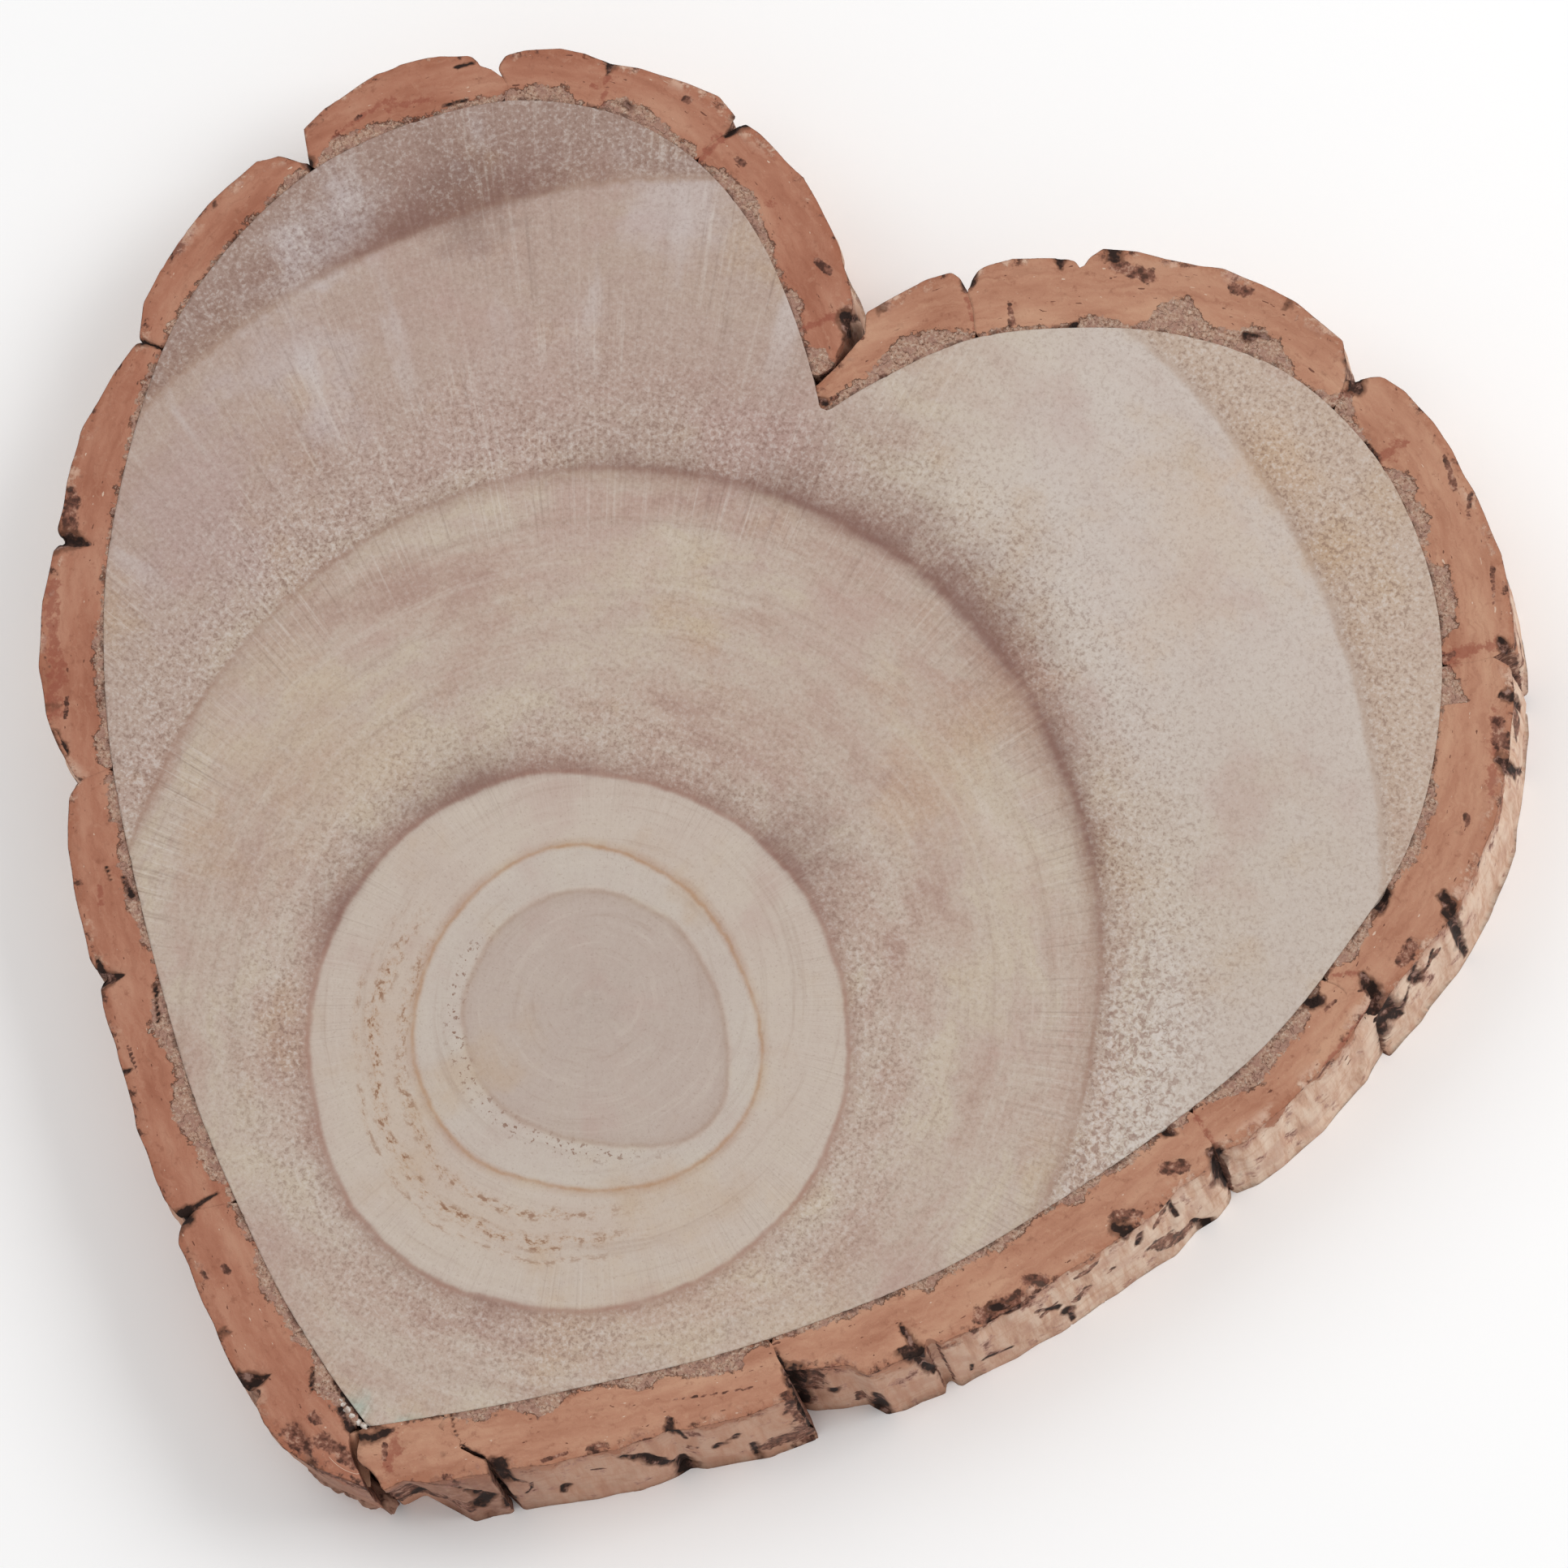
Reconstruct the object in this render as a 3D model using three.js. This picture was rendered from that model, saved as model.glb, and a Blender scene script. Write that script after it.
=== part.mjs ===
// A heart-shaped slice of pale wood with pieces of cork bark glued round its rim.
// It lies flat on its sawn lower face: millimetres, +Z up, cleft towards +Y, tip towards -Y,
// origin under the middle of the whole slice.
// A place on the bark is given as [s, d]: s is the distance along the wood's rim from the cleft,
// down the left or the right side, and d is the distance out from the rim.

import * as THREE from 'three';

const THICKNESS = 21;
const GLUE_GAP = 0.3;
const RIM_STEP = 3;
const RIM_SAMPLES = 600;
const WALL_ROWS = 4;

// The rim of the wood heart, from the cleft round each lobe to the tip.
const CLEFT = [-7.2, 61];
const TIP = [-4, -88.6];
const RIGHT_RIM = [
  CLEFT, [-2.5, 68], [7, 78.5], [20, 85.5], [33, 89.6], [47.5, 90.2], [61, 85.5], [72, 77.5],
  [81.5, 65.5], [87.5, 51], [90, 37], [88.6, 24], [84, 5], [76, -11.5], [67, -26], [57, -40],
  [46, -51.5], [34, -62.3], [20, -72.6], [9.5, -80], TIP,
];
const LEFT_RIM = [
  CLEFT, [-10.4, 65.5], [-17, 73], [-25.2, 80.6], [-34, 86], [-43, 89], [-53, 89.6], [-64, 86.8],
  [-72, 82], [-80, 75], [-87, 66], [-92, 54], [-94.5, 40], [-93, 24], [-88.8, 7], [-83.2, -6],
  [-76, -18.6], [-67, -31], [-54, -47], [-43.4, -58.7], [-32.3, -68.8], [-22.4, -77], [-12, -84], TIP,
];

// The weathered back of the bark: it starts this far out from the wood, bulges at mid height, waves
// along the rim (radians per mm, and round the height), and on the right leans out at its foot.
const BACK_DEPTH = 3;
const BULGE = 0.5;
const WAVE = 0.3;
const WAVE_ALONG = 0.55;
const WAVE_SWELL = 0.23;
const WAVE_UP = 5;
const RIGHT_LEAN = 0.3;
const UNDERCUT_RUN = 6;

const woodMaterial = new THREE.MeshStandardMaterial({ color: '#bfb1a4', roughness: 0.8, metalness: 0 });
const leftBarkMaterial = new THREE.MeshStandardMaterial({ color: '#b37a63', roughness: 0.9, metalness: 0 });
const rightBarkMaterial = new THREE.MeshStandardMaterial({ color: '#bb8465', roughness: 0.9, metalness: 0 });

const slice = new THREE.Group();
slice.name = 'wood_slice';

// One side of the rim, with its length, the way out from the wood and close samples along it.
function makeRim(points, outward) {
  const curve = new THREE.SplineCurve(points.map(([x, y]) => new THREE.Vector2(x, y)));
  curve.arcLengthDivisions = 2 * RIM_SAMPLES;
  const length = curve.getLength();
  const samples = curve
    .getSpacedPoints(RIM_SAMPLES)
    .map((point, i) => ({ point, s: (i / RIM_SAMPLES) * length }));
  return { curve, outward, length, samples };
}

const leftRim = makeRim(LEFT_RIM, -1);
const rightRim = makeRim(RIGHT_RIM, 1);

function placeOnRim(rim, [s, d]) {
  const u = THREE.MathUtils.clamp(s / rim.length, 0, 1);
  const point = rim.curve.getPointAt(u);
  const along = rim.curve.getTangentAt(u);
  const out = new THREE.Vector2(-along.y, along.x).multiplyScalar(rim.outward);
  return point.addScaledVector(out, d);
}

// A line through the given places that follows the rim in steps of about RIM_STEP.
function followPlaces(rim, places) {
  const points = [];
  for (let i = 0; i + 1 < places.length; i += 1) {
    const [from, to] = [places[i], places[i + 1]];
    const steps = Math.max(1, Math.round(Math.abs(to[0] - from[0]) / RIM_STEP));
    for (let step = 0; step < steps; step += 1) {
      const t = step / steps;
      const place = from.map((value, k) => THREE.MathUtils.lerp(value, to[k], t));
      points.push(placeOnRim(rim, place));
    }
  }
  points.push(placeOnRim(rim, places.at(-1)));
  return points;
}

// The wood heart, one slab with straight sawn walls.
function makeWoodHeart() {
  const right = rightRim.curve.getSpacedPoints(Math.round(rightRim.length / RIM_STEP));
  const left = leftRim.curve.getSpacedPoints(Math.round(leftRim.length / RIM_STEP));
  const outline = new THREE.Shape([...right, ...left.reverse().slice(1, -1)]);
  const slab = new THREE.ExtrudeGeometry(outline, { depth: THICKNESS, bevelEnabled: false });
  const mesh = new THREE.Mesh(slab, woodMaterial);
  mesh.name = 'wood_heart';
  return mesh;
}
slice.add(makeWoodHeart());

// How far a point stands out from the nearer stretch of rim, and the way out there.
function standOut(rim, x, y) {
  const here = new THREE.Vector2(x, y);
  let nearest = rim.samples[0];
  for (const sample of rim.samples) {
    if (sample.point.distanceToSquared(here) < nearest.point.distanceToSquared(here)) {
      nearest = sample;
    }
  }
  const away = here.sub(nearest.point);
  return { depth: away.length(), s: nearest.s, way: away.normalize() };
}

// The weathered back of a bark piece bulges, waves and leans. Near the tip its foot is broken away,
// from a place along the rim on. The inner face and the inner half of each end stay where they are.
function shapeBack(geometry, rim, lean, { from, depth: loss }) {
  const position = geometry.attributes.position;
  for (let i = 0; i < position.count; i += 1) {
    const [x, y, z] = [position.getX(i), position.getY(i), position.getZ(i)];
    const { depth, s, way } = standOut(rim, x, y);
    const hold = THREE.MathUtils.smoothstep(depth, BACK_DEPTH, 2 * BACK_DEPTH);
    const height = z / THICKNESS;
    const bulge = BULGE * Math.sin(Math.PI * height);
    const wave = WAVE * Math.sin(WAVE_ALONG * s + WAVE_UP * height) * Math.sin(WAVE_SWELL * s);
    const broken = loss * THREE.MathUtils.smoothstep(s, from, from + UNDERCUT_RUN);
    const push = hold * (bulge + wave + lean * (0.5 - height) - broken * (1 - height));
    position.setXY(i, x + push * way.x, y + push * way.y);
  }
}

// A bark piece. Its inner face follows the rim between two places, its start and end faces are lists
// of points from the rim outwards, and its back is a list of places in the order of the rim.
function addBark(name, rim, material, { inner, start, end, back, lean, undercut }) {
  const outline = new THREE.Shape([
    ...followPlaces(rim, inner.map((s) => [s, GLUE_GAP])),
    ...end,
    ...followPlaces(rim, back).reverse(),
    ...start.slice().reverse(),
  ]);
  const settings = { depth: THICKNESS, steps: WALL_ROWS, bevelEnabled: false };
  const bark = new THREE.Mesh(new THREE.ExtrudeGeometry(outline, settings), material);
  shapeBack(bark.geometry, rim, lean, undercut);
  bark.name = name;
  slice.add(bark);
}

// A joint moved half a gap square to itself: side is -1 for the face of the piece that ends there
// and 1 for the face of the piece that starts there.
function jointPlaces(joint, side) {
  return joint.map(([s, d], i) => {
    const [s0, d0] = joint[Math.max(i - 1, 0)];
    const [s1, d1] = joint[Math.min(i + 1, joint.length - 1)];
    const shift = (side * GLUE_GAP) / 2 / Math.hypot(s1 - s0, d1 - d0);
    return [s + shift * (d1 - d0), d - shift * (s1 - s0)];
  });
}

function jointFace(rim, joint, side) {
  return jointPlaces(joint, side).slice(1).map((place) => placeOnRim(rim, place));
}

// A row of pieces along one side, from the cleft to the tip. The joints stand between the backs,
// and the first and last faces are given, because both sides meet there.
function addBarkRow(prefix, rim, material, row) {
  const { joints, backs, cleftFace, tipFace, innerStart, innerEnd, lean, undercut } = row;
  backs.forEach((back, i) => {
    const before = joints[i - 1];
    const after = joints[i];
    const from = before ? jointPlaces(before, 1)[0][0] : innerStart;
    const to = after ? jointPlaces(after, -1)[0][0] : innerEnd;
    addBark(`${prefix}_${i + 1}`, rim, material, {
      inner: [from, to],
      start: before ? jointFace(rim, before, 1) : cleftFace,
      end: after ? jointFace(rim, after, -1) : tipFace,
      back,
      lean,
      undercut,
    });
  });
}

const spots = (list) => list.map(([x, y]) => new THREE.Vector2(x, y));
const leftPlaces = (list) => list.map((place) => placeOnRim(leftRim, place));

// Left side: seven pieces. The last one turns round the tip and ends in a broken stub.
addBarkRow('left_bark', leftRim, leftBarkMaterial, {
  innerStart: 5.7,
  innerEnd: 288.2,
  lean: 0,
  undercut: { from: 280, depth: 2 },
  cleftFace: leftPlaces([[7.5, 3.4], [9.9, 5.8], [11.9, 7]]),
  tipFace: spots([[-6.4, -89.4], [-5.6, -91.6], [-4.2, -93.6], [-2.2, -95.4], [-0.8, -96.4]]),
  joints: [
    [[41.6, GLUE_GAP], [41.9, 3], [41.4, 5.5]],
    [[70.8, GLUE_GAP], [70, 1.6], [70.3, 3.2]],
    [[98.4, GLUE_GAP], [98.2, 1.1]],
    [[130.6, GLUE_GAP], [131, 1.6], [130.8, 3]],
    [[190.9, GLUE_GAP], [191.3, 2.4], [191.6, 4]],
    [[254.2, GLUE_GAP], [253.4, 3.2], [253, 5.6]],
  ],
  backs: [
    [[13.4, 7.9], [16, 8.6], [24, 9], [31, 9.4], [36, 8.9], [40.9, 8.2]],
    [[42, 8.2], [45, 8.8], [49, 8.3], [52, 7.6], [57, 6.9], [64, 7.6], [68, 7.3], [70, 6.6], [70.9, 4.8]],
    [[72, 5], [73.2, 5.8], [74.2, 7.6], [78, 8.3], [83, 8.7], [88, 8], [93, 7.2], [96.2, 6.1], [97.4, 2.6]],
    [[99.4, 2.2], [101, 4.6], [103, 5.8], [108, 6.3], [114, 6.5], [120, 5.9], [126, 5.3], [130.2, 3.9]],
    [[131.6, 4.1], [136, 5.3], [140, 6.1], [144, 7.1], [148, 7.5], [158, 7.4], [159, 5.6], [160, 7.4],
      [164, 7.9], [170, 8.8], [176, 8.9], [182, 8], [187, 7], [190.8, 5.3]],
    [[192.2, 5], [193.6, 6.6], [197, 7.2], [203, 8], [210, 8.5], [216, 8.2], [217.6, 7.8], [218.4, 6],
      [219.4, 7.8], [225, 8.2], [233, 8], [243, 8.4], [250, 8.8], [252.6, 8]],
    [[253.6, 8], [256, 9.1], [262, 9.3], [270, 10.1], [276, 10.5], [277.4, 9.9], [278.1, 7.6], [279, 10],
      [282, 10.8], [286, 10.6], [290, 9.2]],
  ],
});

// Right side: eight pieces. The first one runs down into the cleft and ends there in a wedge.
addBarkRow('right_bark', rightRim, rightBarkMaterial, {
  innerStart: 0.9,
  innerEnd: 301.8,
  lean: RIGHT_LEAN,
  undercut: { from: 293, depth: 3.6 },
  cleftFace: leftPlaces([
    [1.2, GLUE_GAP], [2.9, GLUE_GAP], [4.6, GLUE_GAP], [6.3, 3.7], [8.5, 6.6], [9.7, 8.4],
  ]),
  tipFace: spots([[-4.8, -89.6], [-3.4, -91.8], [-2, -93.2], [0.3, -94.4], [1.4, -95.8]]),
  joints: [
    [[23.4, GLUE_GAP], [23.8, 4], [23.6, 6.6]],
    [[74.6, GLUE_GAP], [74.2, 2.2], [73, 4]],
    [[114.6, GLUE_GAP], [114.4, 4], [113.8, 7]],
    [[161.2, GLUE_GAP], [160.7, 2], [160.8, 4.4], [161.2, 6]],
    [[185.6, GLUE_GAP], [186.4, 3.2], [186.4, 6]],
    [[248.6, GLUE_GAP], [248.6, 2.6], [248.3, 4.4]],
    [[292.8, GLUE_GAP], [292.2, 2.2], [291.4, 4.6], [289.6, 6], [288, 6.8]],
  ],
  backs: [
    [[12, 9.8], [16, 10], [20, 10.2], [22.4, 9.9], [23.1, 8.8]],
    [[24.3, 8.9], [26, 10], [29, 10.4], [35, 10.3], [36.6, 9.6], [37.4, 8.2], [38.4, 9.9], [40, 11.3],
      [44, 11], [48, 10.3], [54, 10.6], [60, 9.8], [66, 8.6], [69.6, 8], [71.4, 6.2]],
    [[74.6, 6], [76, 8], [79, 8.6], [84, 9], [91, 9.2], [99, 9.6], [107, 9.8], [112.6, 9.8]],
    [[115, 9.4], [120, 9.6], [126, 9.7], [132, 10], [140, 9.4], [147, 9.6], [150, 9.1], [155, 9],
      [159.4, 8.4]],
    [[162.4, 7.4], [165, 8], [170, 8], [176, 7.9], [183, 7.9], [185.9, 7.2]],
    [[187.4, 7.4], [190, 8], [193, 7.8], [197, 8.6], [203, 8.8], [211, 9.1], [218, 9], [224, 9.2],
      [228.6, 9.3], [229.6, 7.2], [230.6, 9.2], [236, 9.2], [238.4, 8.9], [240.2, 6.8], [243.5, 6.3],
      [246.6, 5.3]],
    [[247.6, 8.9], [254, 9.1], [258, 8.9], [262, 8.6], [264, 8.1], [266, 9], [271, 9.4], [277, 9.2],
      [283, 9.1], [286.6, 8.8]],
    [[287.8, 9], [290, 9], [293, 9], [296, 8.6], [299, 8]],
  ],
});

// The slice stands with the middle of its outline over the origin.
const middle = new THREE.Box3().setFromObject(slice).getCenter(new THREE.Vector3());
slice.position.set(-middle.x, -middle.y, 0);

export default slice;
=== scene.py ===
import itertools

import bmesh
import bpy
import numpy as np
from mathutils import Matrix, Vector


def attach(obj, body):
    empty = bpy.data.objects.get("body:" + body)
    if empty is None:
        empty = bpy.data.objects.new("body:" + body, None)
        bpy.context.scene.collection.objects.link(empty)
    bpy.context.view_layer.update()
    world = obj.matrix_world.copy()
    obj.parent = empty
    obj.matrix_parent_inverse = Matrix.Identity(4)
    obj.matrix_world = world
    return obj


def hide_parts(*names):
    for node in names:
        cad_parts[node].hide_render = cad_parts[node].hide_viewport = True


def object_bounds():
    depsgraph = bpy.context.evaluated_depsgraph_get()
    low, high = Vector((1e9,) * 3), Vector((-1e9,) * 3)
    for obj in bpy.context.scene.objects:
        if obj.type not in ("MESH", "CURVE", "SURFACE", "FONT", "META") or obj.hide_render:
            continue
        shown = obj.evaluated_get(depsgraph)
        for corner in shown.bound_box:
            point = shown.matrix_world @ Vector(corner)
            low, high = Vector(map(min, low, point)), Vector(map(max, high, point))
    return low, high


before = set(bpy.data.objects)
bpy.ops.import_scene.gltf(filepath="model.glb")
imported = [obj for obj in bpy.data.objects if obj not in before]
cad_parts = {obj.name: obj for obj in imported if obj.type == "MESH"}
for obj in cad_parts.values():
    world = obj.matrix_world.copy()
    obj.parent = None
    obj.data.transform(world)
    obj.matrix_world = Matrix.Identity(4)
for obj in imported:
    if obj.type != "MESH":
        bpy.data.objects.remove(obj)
cad_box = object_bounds()

# The heart is one slab of pale, quick-grown wood, sawn across the grain and sanded flat.
# Its growth rings run round a pith that lies low, near the middle line, and the heart's outline
# was sawn through the outer ones. It lies loose on its lower face, and the bark is glued to its rim.
MM = 0.001
# Points as close as this are made one.
WELD = 0.001 * MM
THICKNESS = 21
WOOD_FACE = 1.0
PITH = (-0.8, -27.4)
# Reach of each growth ring from the pith, at every 15 degrees from +X towards +Y.
RING_REACH = [
    [20.0, 17.7, 16.2, 15.3, 15.0, 14.9, 14.8, 15.2, 15.8, 16.0, 16.3, 16.5,
     16.5, 16.9, 17.3, 17.5, 17.9, 18.1, 18.2, 18.5, 19.3, 21.0, 23.0, 22.2],
    [24.6, 22.5, 20.6, 19.7, 19.4, 19.7, 20.2, 21.0, 22.1, 22.5, 22.5, 22.6,
     22.8, 23.4, 24.2, 24.8, 25.5, 25.7, 25.4, 25.4, 25.6, 26.3, 26.4, 26.0],
    [36.7, 34.5, 33.1, 32.0, 31.3, 30.9, 30.9, 31.3, 32.5, 33.8, 34.7, 35.6,
     36.3, 37.4, 38.2, 39.4, 41.1, 42.2, 42.3, 42.0, 41.5, 40.9, 39.7, 38.2],
    [66.8, 66.5, 67.9, 69.0, 70.8, 72.6, 73.7, 74.5, 74.8, 73.6, 71.5, 69.3,
     67.4, 66.6, 66.4, 66.6, 67.0, 67.2, 67.2, 67.0, 66.8, 66.6, 66.6, 66.7],
    [98.5, 101.5, 105.2, 108.9, 112.8, 115.7, 117.2, 116.8, 114.3, 110.7, 106.2, 103.0,
     101.0, 100.0, 99.0, 98.0, 97.0, 97.0, 97.0, 97.0, 97.0, 97.0, 97.0, 97.5],
]
# Brown stain in the young wood just outside a ring: ring, middle and half width in degrees,
# how far it reaches outwards, strength.
STAINS = [
    (3, 58, 20, 10.0, 0.9), (3, 142, 26, 6.0, 1.0), (3, 180, 14, 3.5, 0.9), (3, 262, 60, 4.0, 0.55),
    (3, 95, 26, 7.0, 0.5), (3, 20, 20, 3.0, 0.4), (4, 76, 17, 9.0, 1.1), (4, 42, 20, 5.0, 0.8),
    (4, 104, 18, 14.0, 0.35), (4, 130, 30, 4.0, 0.35), (4, 60, 26, -5.0, 0.5), (4, 100, 20, -3.0, 0.3),
    (5, 124, 13, 8.0, 1.1), (5, 96, 12, 9.0, 0.5), (5, 148, 16, 9.0, 0.4), (5, 52, 18, 4.0, 0.3),
]
# Patches of colour in the wood: middle x and y, reach in mm, colour, strength.
PATCHES = [
    (50.7, 76.1, 8, "c2a284", 0.35), (64.7, 65.9, 6, "b8966f", 0.4), (48, 60, 16, "c3a68a", 0.25),
    (30, 26, 16, "bf9f80", 0.35), (-6.5, -89.5, 4, "8fb5ac", 0.6), (0.6, -89.5, 2.5, "9fbcb3", 0.5),
    (-79, 57, 10, "cbc3c4", 0.5), (-75, 40, 13, "c4b9b8", 0.4), (-37, 79, 9, "c9bfbf", 0.4),
    (-78, 14, 16, "b39a98", 0.35), (-67, 70, 10, "83675c", 0.6), (-32, 33, 14, "b3938a", 0.4),
    (-12, 50, 14, "b0918a", 0.5), (-52, 45, 18, "b89f96", 0.4), (60, 20, 22, "bfae9c", 0.4),
    (-30, -75, 14, "bba79b", 0.4), (10, 70, 20, "c9bcae", 0.4),
    (28, 31, 12, "ab8b80", 0.4), (-50, -10, 18, "bda58c", 0.4), (28, -60, 20, "c2ac93", 0.4),
]


def in_mesh(name, block):
    """A finished bmesh as a mesh."""
    mesh = bpy.data.meshes.new(name)
    block.to_mesh(mesh)
    block.free()
    return mesh


def in_scene(name, data):
    """An object in the scene that shows a mesh, a lamp or a camera."""
    shown = bpy.data.objects.new(name, data)
    bpy.context.scene.collection.objects.link(shown)
    return shown


def finely_meshed(node, step):
    """A copy of a CAD block in small even faces. Its sawn faces stay flat, their edges crisp."""
    top = THICKNESS * MM
    block = bmesh.new()
    block.from_mesh(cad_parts[node].data)
    bmesh.ops.remove_doubles(block, verts=block.verts, dist=WELD)
    # It is meshed a little taller, and pressed back to its height afterwards.
    for vert in block.verts:
        if vert.co.z > 0.999 * top:
            vert.co.z += 2 * step
        elif vert.co.z < 0.001 * top:
            vert.co.z -= 2 * step
    coarse = in_mesh(node + "_coarse", block)
    cast = in_scene(coarse.name, coarse)
    even_faces = cast.modifiers.new("even_faces", "REMESH")
    even_faces.mode = "VOXEL"
    even_faces.voxel_size = step
    graph = bpy.context.evaluated_depsgraph_get()
    mesh = bpy.data.meshes.new_from_object(cast.evaluated_get(graph))
    bpy.data.objects.remove(cast)
    bpy.data.meshes.remove(coarse)
    block = bmesh.new()
    block.from_mesh(mesh)
    for vert in block.verts:
        vert.co.z = min(max(vert.co.z, 0), top)
    bmesh.ops.remove_doubles(block, verts=block.verts, dist=0.1 * step)
    block.to_mesh(mesh)
    block.free()
    return mesh


def read_points(mesh, what="co"):
    """The places or normals of a mesh's points, one row each, as read from Blender."""
    values = np.empty(3 * len(mesh.vertices), np.float32)
    mesh.vertices.foreach_get(what, values)
    return values.reshape(-1, 3).astype(float)


def write_attribute(mesh, name, columns):
    """Three values at each point of a mesh, which its material reads by name."""
    stored = mesh.attributes.new(name, "FLOAT_VECTOR", "POINT")
    stored.data.foreach_set("vector", np.stack(columns, axis=1).astype(np.float32).ravel())


def add_piece(name, mesh, node, paint):
    """A finished piece that stands for its CAD node and takes its material."""
    mesh.name = name
    mesh.materials.clear()
    mesh.materials.append(paint)
    mesh.shade_smooth()
    piece = in_scene(name, mesh)
    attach(piece, "root")
    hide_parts(node)


class Pattern:
    """A socket of a material. A sum or product of patterns adds the Math nodes for it."""

    def __init__(self, socket):
        self.socket = socket

    def node(self, kind, settings, inputs, output=0):
        tree = self.socket.id_data
        made = tree.nodes.new("ShaderNode" + kind)
        for name, value in settings.items():
            if name == "stops":
                while len(made.color_ramp.elements) < len(value):
                    made.color_ramp.elements.new(0.5)
                for element, (place, code) in zip(made.color_ramp.elements, value):
                    element.position = place
                    element.color = colour(code)
            else:
                setattr(made, name, value)
        for name, value in inputs.items():
            if isinstance(value, Pattern):
                tree.links.new(value.socket, made.inputs[name])
            else:
                made.inputs[name].default_value = value
        return Pattern(made.outputs[output])

    def math(self, operation, *others):
        return self.node("Math", {"operation": operation}, dict(enumerate((self, *others))))

    def __add__(self, other):
        return self.math("ADD", other)

    __radd__ = __add__

    def __sub__(self, other):
        return self.math("SUBTRACT", other)

    def __rsub__(self, other):
        return self.math("MULTIPLY_ADD", -1.0, other)

    def __mul__(self, other):
        return self.math("MULTIPLY", other)

    __rmul__ = __mul__

    def rise(self, low, high):
        """0 below low and 1 above high, or the other way round, with a soft step between."""
        return self.node("MapRange", {"interpolation_type": "SMOOTHSTEP"}, {0: self, 1: low, 2: high})

    def hump(self, middle, half_width):
        """1 at the middle, falling softly to 0 half a width to either side."""
        return (self - middle).math("ABSOLUTE").rise(half_width, 0.0)

    def ramp(self, *stops):
        """A colour for each value. A stop is a value and the code of its colour."""
        return self.node("ValToRGB", {"stops": stops}, {0: self})

    def mixed(self, other, share):
        """This colour with a share of another, which is a pattern too or a code."""
        other = colour(other) if isinstance(other, str) else other
        return self.node("Mix", {"data_type": "RGBA"}, {0: share, 6: self, 7: other}, 2)

    def length(self):
        return self.node("VectorMath", {"operation": "LENGTH"}, {0: self}, 1)

    def scaled(self, *scale):
        return self.node("VectorMath", {"operation": "MULTIPLY"}, {0: self, 1: scale})

    def shifted(self, other):
        return self.node("VectorMath", {"operation": "ADD"}, {0: self, 1: other})

    def split(self):
        return [self.node("SeparateXYZ", {}, {0: self}, axis) for axis in range(3)]

    def noise(self, scale=1.0, detail=2.0, roughness=0.5, distortion=0.0):
        return self.node("TexNoise", {}, {"Vector": self, "Scale": scale, "Detail": detail,
                                          "Roughness": roughness, "Distortion": distortion})

    def attribute(self, name):
        return self.node("Attribute", {"attribute_name": name}, {}, 1)


def colour(code):
    """The linear colour of a six-digit code, as it looks on a screen."""
    screen = [int(code[i:i + 2], 16) / 255 for i in (0, 2, 4)]
    return [((c + 0.055) / 1.055) ** 2.4 if c > 0.04 else c / 12.92 for c in screen] + [1]


def new_material(name):
    """A material with its main shader, and the place on the object in mm as its first pattern."""
    paint = bpy.data.materials.new(name)
    paint.use_nodes = True
    surface = paint.node_tree.nodes["Principled BSDF"]
    place = Pattern(paint.node_tree.nodes.new("ShaderNodeTexCoord").outputs["Object"])
    return paint, surface, place.scaled(1 / MM, 1 / MM, 1 / MM)


def finish_material(surface, shade, roughness, height, depth):
    """Joins a material's colour, roughness and height to its shader. The depth is in mm."""
    tree = surface.id_data
    bump = height.node("Bump", {}, {"Height": height, "Distance": depth * MM, "Strength": 1.0})
    tree.links.new(shade.socket, surface.inputs["Base Color"])
    tree.links.new(roughness.socket, surface.inputs["Roughness"])
    tree.links.new(bump.socket, surface.inputs["Normal"])


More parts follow.
